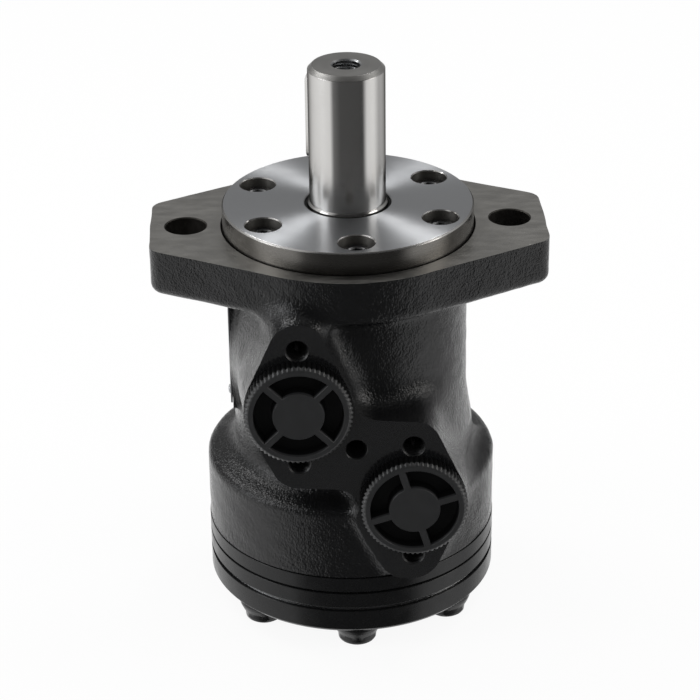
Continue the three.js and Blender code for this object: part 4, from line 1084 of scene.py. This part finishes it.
stack = {
    "boltHole": 4.3, "passage": 2.5, "passageCircle": 27.6, "footEdge": 0.75,
    "jointDepth": 1.3, "joint": 0.42, "lastJoint": 0.8, "jointEdge": 0.12,
    "sweep": 13.05, "ringInner": 31.25, "rollerCircle": 33, "pocket": 7.09, "rollers": 7,
    "ringGroove": (45.15, 47.25, 1.4), "relief": 29.2, "land": 0.3, "sweepTop": 5.3,
}


def boltHoles(low, high):
    return drilled(boltSpots, stack["boltHole"], low - 1, high + 1, turns=32, point=0)


# Rim of a plate between two joints: a black slot lies under the next plate's edge at each joint
def rimCorners(low, high, lowGap, highGap):
    rim, edge = barrelRadius, stack["jointEdge"]
    floor = rim - stack["jointDepth"]
    lowLip, highLip = low + lowGap, high - highGap
    return [(floor, low, 0), (floor, lowLip, 0.05), (rim - edge, lowLip, 0), (rim, lowLip + edge, 0),
            (rim, highLip - edge, 0), (rim - edge, highLip, 0), (floor, highLip, 0.05), (floor, high, 0)]


def makeStack():
    s = stack
    sweep, joint, last, count = s["sweep"], s["joint"], s["lastJoint"], s["rollers"]
    inner, outer, deep = s["ringGroove"]
    low, high = nodeHeights("spacer_plate")
    plate = turned("spacer", [
        (sweep, low, 0.2), (inner, low, 0.05), (inner, low + deep, 0.1), (outer, low + deep, 0.1),
        (outer, low, 0.05), *rimCorners(low, high, joint, joint), (sweep, high, 0.2),
    ], 224)
    spots = ringSpots(count, s["passageCircle"], -pi / 2)
    holes = drilled(spots, s["passage"], low - 1, high + 1, turns=24, point=0)
    finishStack(carve(plate, fused("holes", holes + boltHoles(low, high))), "spacer_plate")
    low, high = nodeHeights("gear_ring")
    rim = rimCorners(low, high, last, joint)
    ring = turned("ring", [(s["ringInner"], low, 0.2), *rim, (s["ringInner"], high, 0.2)], 224)
    spots = ringSpots(count, s["rollerCircle"], pi / 2)
    pockets = drilled(spots, s["pocket"], low - 1, high + 1, turns=72, point=0)
    finishStack(carve(ring, fused("pockets", pockets), fused("holes", boltHoles(low, high))), "gear_ring")
    low, high = nodeHeights("end_cover")
    edge, flat, relief = s["footEdge"], low + s["land"], s["relief"]
    cap = turned("cap", [
        (0, flat, 0), (relief - s["land"], flat, 0.2), (relief, low, 0.1), (barrelRadius - edge, low, 0.25),
        (barrelRadius, low + edge * 1.4, 0.3), *rimCorners(low, high, last, last)[4:], (outer, high, 0.05),
        (outer, high - deep, 0.1), (inner, high - deep, 0.1), (inner, high, 0.05), (sweep, high, 0.2),
        (sweep, s["sweepTop"], 0.3), (0, s["sweepTop"], 0),
    ], 224)
    finishStack(carve(cap, fused("holes", boltHoles(low, high))), "end_cover")


def finishStack(piece, node):  # paint outside, bare ground steel on what the stack hides
    finishEdges(piece, 30)
    middle, normal, r = faceFacts(piece)
    under = (normal[:, 2] < -0.5) & (node == "end_cover") & (middle[:, 2] < 2)
    outside = (r > barrelRadius - 0.9) | under
    dress(piece, ["turned_paint", "hardened_steel"], np.where(outside, 0, 1))
    seat(piece, "casing", node)


# Flanged hexagon bolt, head down: the bell of its flange runs up into the hexagon, and its
# line is the lesser of the turned profile and the hexagon
bolt = {
    "shank": 4, "grip": 34.3, "flange": 8.3, "hex": 6.95, "head": 8.1, "face": 4.4, "facet": 0.55,
    "dish": 0.35, "bell": 4.6, "bellHeight": 2.2,
}


def makeBolt(name, x, y):
    b = bolt
    head, corner, face = b["head"], b["hex"], b["face"]
    flange, shank, grip = b["flange"], b["shank"], b["grip"]

    def wave(angle, r, z):
        hexagon = corner * (1 - b["facet"] * (1 - hexLine(angle)))
        spread = np.clip((z + b["bell"]) / b["bellHeight"], 0, 1) ** 1.5 * 3
        limit = np.where(z < -b["bell"], hexagon, hexagon + spread)
        return np.minimum(r, limit) - r

    piece = turned(name, [
        (0, -head + b["dish"], 0), (face - 1.0, -head + b["dish"], 0.2), (face - 0.6, -head, 0.2),
        (face + 0.5, -head, 0.8), (corner - 0.7, -head + 1.0, 0.9), (corner - 0.1, -head + 2.2, 0.9),
        (corner, -b["bell"], 0), (corner + 0.35, -3.6, 1.5), (flange - 0.35, -2.2, 1.5), (flange, -1.1, 0.6),
        (flange, -0.12, 0.1), (flange - 0.3, 0, 0), (shank + 0.2, 0, 0.1), (shank, 0.3, 0),
        (shank, grip - 0.8, 0.1), (shank - 0.8, grip, 0.1), (0, grip, 0),
    ], 96, 5, wave)
    shifted(piece, x, y, -stack["land"], spun(math.atan2(y, x)))
    complete(piece, "black_steel", "casing", name, 38)


makeStack()
for number, (x, y, _) in enumerate(boltSpots, 1):
    makeBolt("end_bolt_%d" % number, x, y)
print("stack and bolts made")


plug = {
    "seat": 0.3, "rimWidth": 5.5, "rim": 17.4, "front": 16.1, "teeth": 66, "toothDepth": 0.55, "lip": 15.2,
    "hub": 8.25, "pocket": 14.4, "pocketDepth": 4.2, "spokeHalf": 1.1, "pocketRound": 0.22,
    "stem": 9.2, "thread": 0.72, "pitch": 1.814, "length": 10, "turn": {"a": pi / 4, "b": 0.297},
    "seal": (10.9, 11.8, -1.45, 0.12, 0.3),  # inner and outer radius, low, high and round
}


# One pocket of a plug, between two spokes: its line lies a spoke's half width off each spoke
def pocketLine(grow):
    p = plug
    inner, outer, side = p["hub"] - grow, p["pocket"] + grow, p["spokeHalf"] - grow
    near, far = math.asin(side / inner), math.asin(side / outer)
    a = np.concatenate([np.linspace(far, pi / 2 - far, 28), np.linspace(pi / 2 - near, near, 18)])
    r = np.repeat([outer, inner], [28, 18])
    return np.stack([r * np.cos(a), r * np.sin(a)], -1)


def makePlug(side):
    p = plug
    back, front, rim, stem = p["seat"], p["seat"] + p["rimWidth"], p["rim"], p["stem"]
    foot, threadTop = -p["length"], -0.6
    x, _, z = ports[side]

    def teeth(angle, r, z):
        crest = (0.5 + 0.5 * np.cos(p["teeth"] * angle)) ** 0.7
        cut = np.clip((r - p["lip"] - 0.9) / 0.9, 0, 1)
        return p["toothDepth"] * (crest - 1) * cut

    piece = turned("plug_" + side, [
        (0, back, 0), (rim - 0.5, back, 0.1), (rim, back + 0.5, 0.2), (rim, front - 1.1, 0.3),
        (p["front"] + 0.35, front - 0.25, 0.25), (p["front"] - 0.2, front, 0.2), (0, front, 0),
    ], p["teeth"] * 6, wave=teeth)
    profile = threadedProfile([
        (0, foot, 0), (stem - 1.2, foot, 0.2), (stem, foot + 1.2, 0), (stem, threadTop, 0),
        (stem, back + 1, 0), (0, back + 1, 0),
    ], foot + 1.2, threadTop, 0.22)
    thread = threadWave(p["pitch"], p["thread"], foot + 1.3, -1.2)
    carve(piece, lathe("stem", profile, 72, thread), operation="UNION")
    soft, deep = p["pocketRound"], front - p["pocketDepth"]
    levels = [(deep, -0.75), (deep + 0.12, -0.45), (deep + 0.5, -0.28), (front - soft, 0),
              (front - 0.05, soft * 0.4), (front + soft, soft * 1.6)]
    carve(piece, fused("pockets", [shifted(prismStack("pocket", pocketLine, levels), turn=turn)
                                   for turn in around(4)]))
    shifted(piece, x, -portFace, z, towardsPorts @ spun(p["turn"][side]))
    complete(piece, "plug_plastic", "plug_" + side, "port_plug_" + side, 33)
    ring = turned("seal_ring_" + side, ringCorners(*p["seal"]), 96, 4)
    shifted(ring, x, -portFace, z, towardsPorts)
    complete(ring, "seal_rubber", "seal_" + side, "port_seal_" + side)


drain = {
    "thread": 5.7, "end": -10, "head": 8.6, "headHeight": 5, "headEdge": 0.6,
    "socket": 3.4, "socketDepth": 5, "socketEdge": 0.4, "washer": (5.95, 9.2, 1.5),
}


def makeDrain():
    d = drain
    inner, outer, low = d["washer"]
    top = low + d["headHeight"]
    head, socket, deep, foot = d["head"], d["socket"], top - d["socketDepth"], d["end"]

    def wave(angle, r, z):
        return np.where((r < socket + 0.05) & (z > deep - 0.1), r * hexLine(angle) - r, 0)

    piece = turned("drain_screw", [
        (0, foot, 0), (d["thread"] - 0.7, foot, 0.1), (d["thread"], foot + 0.7, 0.1), (d["thread"], low, 0.1),
        (head, low, 0.15), (head, top - d["headEdge"], 0.2), (head - d["headEdge"], top, 0.2),
        (socket + d["socketEdge"], top, 0.1), (socket, top - d["socketEdge"], 0), (socket, deep, 0),
        (socket * 0.5, deep, 0), (0, deep - 0.8, 0),
    ], 96, wave=wave)
    ring = turned("drain_ring", ringCorners(inner, outer, 0, low, 0.25), 96, 4)
    for part, name, node, degrees in ((piece, "turned_paint", "drain_plug", 30),
                                      (ring, "brushed_aluminium", "drain_washer", 32)):
        shifted(part, 0, drainFace, drainHeight, towardsBack)
        complete(part, name, "casing", node, degrees)


plate = {"corner": 2.0, "edge": 0.12, "rivet": 1.5, "rivetEdge": 0.15}


# The plate and its rivets: local x and y lie on the neck's flat, local z points out of it, to -X
def makePlate():
    low, high = nodeBox("name_plate")
    middle, size = (low + high) / 2, high - low
    corner, edge, thick = plate["corner"], plate["edge"], size[0]
    wide, tall = size[1] / 2 - corner, size[2] / 2 - corner

    def outline(grow):
        r = corner + grow
        return beltOutline([(wide, -tall, r), (wide, tall, r), (-wide, tall, r), (-wide, -tall, r)], 10)

    outOfNeck = Matrix(((0, 0, -1, 0), (-1, 0, 0, 0), (0, 1, 0, 0), (0, 0, 0, 1)))
    piece = prismStack("plate", outline, [(0, -0.05), (0.05, 0), (thick - edge, 0), (thick, -edge)])
    shifted(piece, high[0], middle[1], middle[2], outOfNeck)
    complete(piece, "brushed_aluminium", "casing", "name_plate")
    for name in ("plate_rivet_1", "plate_rivet_2"):
        low, high = nodeBox(name)
        _, y, z = (low + high) / 2
        radius, height, sill = plate["rivet"], high[0] - low[0], plate["rivetEdge"]
        angle = np.linspace(0, pi / 2, 9)
        dome = np.stack([radius * np.cos(angle), height * (sill + (1 - sill) * np.sin(angle))], -1)
        rivet = lathe(name, np.vstack([[(0, 0), (radius, 0)], dome[:-1], [(0, height)]]), 40)
        complete(shifted(rivet, high[0], y, z, outOfNeck), "brushed_aluminium", "casing", name, 50)


makePlug("a")
makePlug("b")
makeDrain()
makePlate()
print("plugs, drain screw and plate made")


gears = {
    "starRoller": 7.1, "orbit": 2.4, "lobes": 6, "starPoints": 288, "half": 3.2, "edge": 0.3,
    "roller": 7, "stop": 8.5, "race": (13.6, 26.5),
    "cage": (14.1, 25.5), "cageHalf": 0.75, "slotSlack": 0.08,
    "needle": 1.42, "needles": 24, "needleLength": 8,
    "pivot": 84, "headHalf": 8, "rearHead": (-75.55, -72.25, -65.75), "crown": 0.5, "shank": 6.5,
    "shankFillet": 1.6, "linkGap": 0.25,  # the splined holes are this much wider than the link
}


# The star's flank: the path of a roller's centre seen from the star, moved inwards by the
# roller's radius along the path's own normal
def starLine(grow):
    lobes, orbit, circle = gears["lobes"], gears["orbit"], stack["rollerCircle"]
    teeth = lobes + 1
    even = np.arange(gears["starPoints"]) / gears["starPoints"] * 2 * pi
    angle = even - 0.55 * np.sin(lobes * even) / lobes  # closer points on the lobes' crests
    path = [circle * f(angle) - orbit * f(teeth * angle) for f in (np.cos, np.sin)]
    slope = [circle * f(angle) - teeth * orbit * f(teeth * angle) for f in (np.cos, np.sin)]
    inset = (gears["starRoller"] - grow) / np.hypot(*slope)
    return np.stack([place - inset * lean for place, lean in zip(path, slope)], -1)


def makeGears():
    g = gears
    half, edge, orbit = g["half"], g["edge"], g["orbit"]
    middle = nodeMiddle("roller_1")[2]

    def roundBar(name, radius, low, high, soft, turns):
        return turned(name, [(0, low, 0), (radius, low, soft), (radius, high, soft), (0, high, 0)], turns)

    for number in range(1, stack["rollers"] + 1):
        name = "roller_%d" % number
        x, y, _ = nodeMiddle(name)
        roller = shifted(roundBar(name, g["roller"], -half, half, 0.5, 96), x, y, middle)
        complete(roller, "hardened_steel", name, name)
    levels = [(-half, -edge), (edge - half, 0), (half - edge, 0), (half, -edge)]
    star = prismStack("star", starLine, levels)
    carve(star, prismStack("hole", splineLine, [(-half - 1, 0), (half + 1, 0)]))
    shifted(star, 0, orbit, middle, spun(pi / 2))
    complete(star, "hardened_steel", "star", "rotor_star")
    stop = shifted(roundBar("stop", g["stop"], *nodeHeights("link_stop"), 0.3, 64), 0, orbit)
    complete(stop, "hardened_steel", "orbit", "link_stop")
    for name, body in (("bearing_race_front", "casing"), ("bearing_race_rear", "shaft")):
        race = turned(name, ringCorners(*g["race"], *nodeHeights(name), 0.3), 128, 4)
        complete(race, "hardened_steel", body, name)


def makeCage():
    g = gears
    (inner, outer), half, radius, length = g["cage"], g["cageHalf"], g["needle"], g["needleLength"]
    web = turned("cage", ringCorners(inner, outer, -half, half, 0.2), 144, 3)
    start, slack = (inner + outer - length) / 2, g["slotSlack"]
    wide, low, high = radius + slack, start - slack, start + length + slack
    turns = around(g["needles"])
    slots = [shifted(block("slot", (low, -wide, -3), (high, wide, 3)), turn=turn) for turn in turns]
    carve(web, fused("slots", slots))
    corners = [(0, start, 0), (radius, start, 0.4), (radius, start + length, 0.4), (0, start + length, 0)]
    needles = [shifted(turned("needle", corners, 24, 4), turn=turn @ sideways) for turn in turns]
    whole = shifted(fused("cage", [web, *needles]), z=nodeMiddle("needle_cage")[2])
    complete(whole, "hardened_steel", "cage", "needle_cage", 40)


# The link's heads are crowned: each spline's line draws in by the square of its height off the
# head's middle, so that the link can lean as the star orbits
def crownedHead(name, middle, low, high):
    reach = max(middle - low, high - middle)
    return prismStack(name, splineLine, [
        (height, -gears["crown"] * ((height - middle) / reach) ** 2 - gears["linkGap"])
        for height in np.linspace(low, high, 11)
    ])


def makeLink():
    g = gears
    low, middle, high = g["rearHead"]
    foot, thin, thick = -g["headHalf"], g["shank"], g["shank"] + g["shankFillet"]
    link = crownedHead("link", 0, foot, g["headHalf"])
    shank = turned("shank", [
        (0, high - 2, 0), (thick, high - 2, 0), (thin, high + 0.6, 2.5), (thin, foot - 0.6, 2.5),
        (thick, foot + 2, 0), (0, foot + 2, 0),
    ], 64)
    carve(link, shank, crownedHead("rear", middle, low, high), operation="UNION")
    tilt = math.atan2(g["orbit"], -middle)
    shifted(link, z=g["pivot"], turn=Matrix.Rotation(tilt, 4, "X"))
    complete(link, "hardened_steel", "link", "drive_link")


makeGears()
makeCage()
makeLink()
print("gears, bearing and link made")


# The camera, turned by its azimuth, its elevation and a small roll
cameraFacts = {
    "place": (-0.0263, -0.6997, 0.4409), "azimuth": -2.167, "elevation": 27.232, "roll": -0.6706,
    "lens": 119.98, "sensor": 36,
}


def placeCamera():
    c = cameraFacts
    azimuth, elevation, roll = (math.radians(c[k]) for k in ("azimuth", "elevation", "roll"))
    level = math.cos(elevation)
    back = Vector((math.sin(azimuth) * level, -math.cos(azimuth) * level, math.sin(elevation)))
    right = Vector((math.cos(azimuth), math.sin(azimuth), 0))
    up = back.cross(right)
    across = right * math.cos(roll) + up * math.sin(roll)
    upward = up * math.cos(roll) - right * math.sin(roll)
    data = bpy.data.cameras.new("camera")
    data.lens = c["lens"]
    data.sensor_width = c["sensor"]
    data.clip_end = 20
    camera = linked("camera", data)
    turn = Matrix((across, upward, back)).transposed().to_4x4()
    camera.matrix_world = Matrix.Translation(c["place"]) @ turn
    scene.camera = camera


# Soft boxes: the place and size of each face in metres, its power and its tint. Each one faces
# the middle of the motor. The room's light, as reflections see it, is a list of stops over the
# angle from the front (degrees to the right, then light): one for what lies above the motor's
# height and one for the table below it.
studio = {
    "boxes": {
        "leftBox": ((-1.0, -0.22, 0.50), (0.45, 0.7), 3.2, (0.97, 0.98, 1.0)),
        "rightBox": ((1.0, -0.18, 0.50), (0.45, 0.7), 3.0, (1.0, 0.98, 0.95)),
        "backLeft": ((-0.58, 0.42, 0.98), (0.40, 0.40), 3.0, (1, 1, 1)),
        "backRight": ((0.50, 0.45, 1.0), (0.25, 0.25), 1.95, (1, 1, 1)),
    },
    "aim": (0, 0, 0.1),
    "above": ((-180, 0.28), (-125, 0.30), (-105, 0.7), (-60, 0.5), (-45, 0.02), (56, 0.02), (84, 0.12),
              (110, 0.45), (128, 0.26), (180, 0.28)),
    "below": ((-180, 1.0), (-98, 1.0), (-84, 0.98), (-52, 0.98), (-42, 0.20), (-22, 0.09), (32, 0.08),
              (46, 0.06), (59, 0.98), (84, 0.98), (106, 0.55), (140, 0.85), (180, 1.0)),
    "floorHalf": 3.0, "floorTint": (0.92, 0.92, 0.92), "floorWhite": 0.92,
    "backdrop": 1.0, "fill": 0.6, "overhead": 0.38, "overheadSpan": (0.74, 0.98),
}


def placeLamps():
    aim = Vector(studio["aim"])
    for name, (place, size, power, tint) in studio["boxes"].items():
        data = bpy.data.lights.new(name, "AREA")
        data.shape = "RECTANGLE"
        data.size, data.size_y = size
        data.energy = power
        data.color = tint
        lamp = linked(name, data)
        lamp.location = place
        lamp.rotation_euler = (aim - lamp.location).to_track_quat("-Z", "Y").to_euler()


def lightRound(tree, turn, stops):  # light by the angle from the front, from a list of stops
    made = node(tree, "ValToRGB", {"Fac": turn})
    ramp = made.color_ramp
    while len(ramp.elements) < len(stops):
        ramp.elements.new(0.5)
    for element, (angle, light) in zip(ramp.elements, stops):
        element.position = (angle + 180) / 360
        element.color = (light, light, light, 1)
    return made.outputs[0]


# The world: white behind the motor, an even fill, and for reflections the boxes' glow at the
# sides, a grey back and a dark front, by the direction that the ray leaves in
def makeWorld():
    world = bpy.data.worlds.new("studio")
    scene.world = world
    world.use_nodes = True
    tree = world.node_tree
    tree.nodes.clear()

    def mixed(share, low, high):
        return node(tree, "Mix", {0: share, 2: low, 3: high}).outputs[0]

    way = node(tree, "TexCoord").outputs["Generated"]
    x, y, z = node(tree, "SeparateXYZ", {0: way}).outputs
    angle = reckon(tree, "ARCTAN2", x, reckon(tree, "MULTIPLY", y, -1.0))
    turn = reckon(tree, "ADD", reckon(tree, "DIVIDE", angle, 2 * pi), 0.5)
    above, below = lightRound(tree, turn, studio["above"]), lightRound(tree, turn, studio["below"])
    mirrored = mixed(eased(tree, z, -0.25, 0.05), below, above)
    lean = reckon(tree, "ADD", z, reckon(tree, "MULTIPLY", y, 0.35))
    mirrored = mixed(eased(tree, lean, *studio["overheadSpan"]), mirrored, studio["overhead"])
    rays = node(tree, "LightPath").outputs
    strength = mixed(rays["Is Glossy Ray"], studio["fill"], mirrored)
    strength = mixed(rays["Is Camera Ray"], strength, studio["backdrop"])
    background = node(tree, "Background", {"Color": (1, 1, 1, 1), "Strength": strength})
    node(tree, "OutputWorld", {"Surface": background.outputs[0]})


# The floor: pale and lit as it lies, so that it takes the motor's shadow, and lifted to white for
# the camera
def makeFloor():
    half, height = studio["floorHalf"] / mm, nodeBox("end_bolt_1")[0][2]
    corners = [(-half, -half, height), (half, -half, height), (half, half, height), (-half, half, height)]
    floor = makePiece("studio_floor", corners, [[[0, 1, 2, 3]]])
    floor.visible_glossy = False
    material = startMaterial("studio_floor")
    tree = material.node_tree
    paper = node(tree, "BsdfDiffuse", {"Color": (*studio["floorTint"], 1)})
    white = node(tree, "Emission", {"Color": (1, 1, 1, 1), "Strength": 1.0})
    seen = reckon(tree, "MULTIPLY", node(tree, "LightPath").outputs["Is Camera Ray"], studio["floorWhite"])
    lifted = node(tree, "MixShader", {0: seen, 1: paper.outputs[0], 2: white.outputs[0]})
    node(tree, "OutputMaterial", {"Surface": lifted.outputs[0]})
    floor.data.materials.append(material)


placeCamera()
placeLamps()
makeWorld()
makeFloor()
scene.view_settings.view_transform = "Standard"
print("studio set")
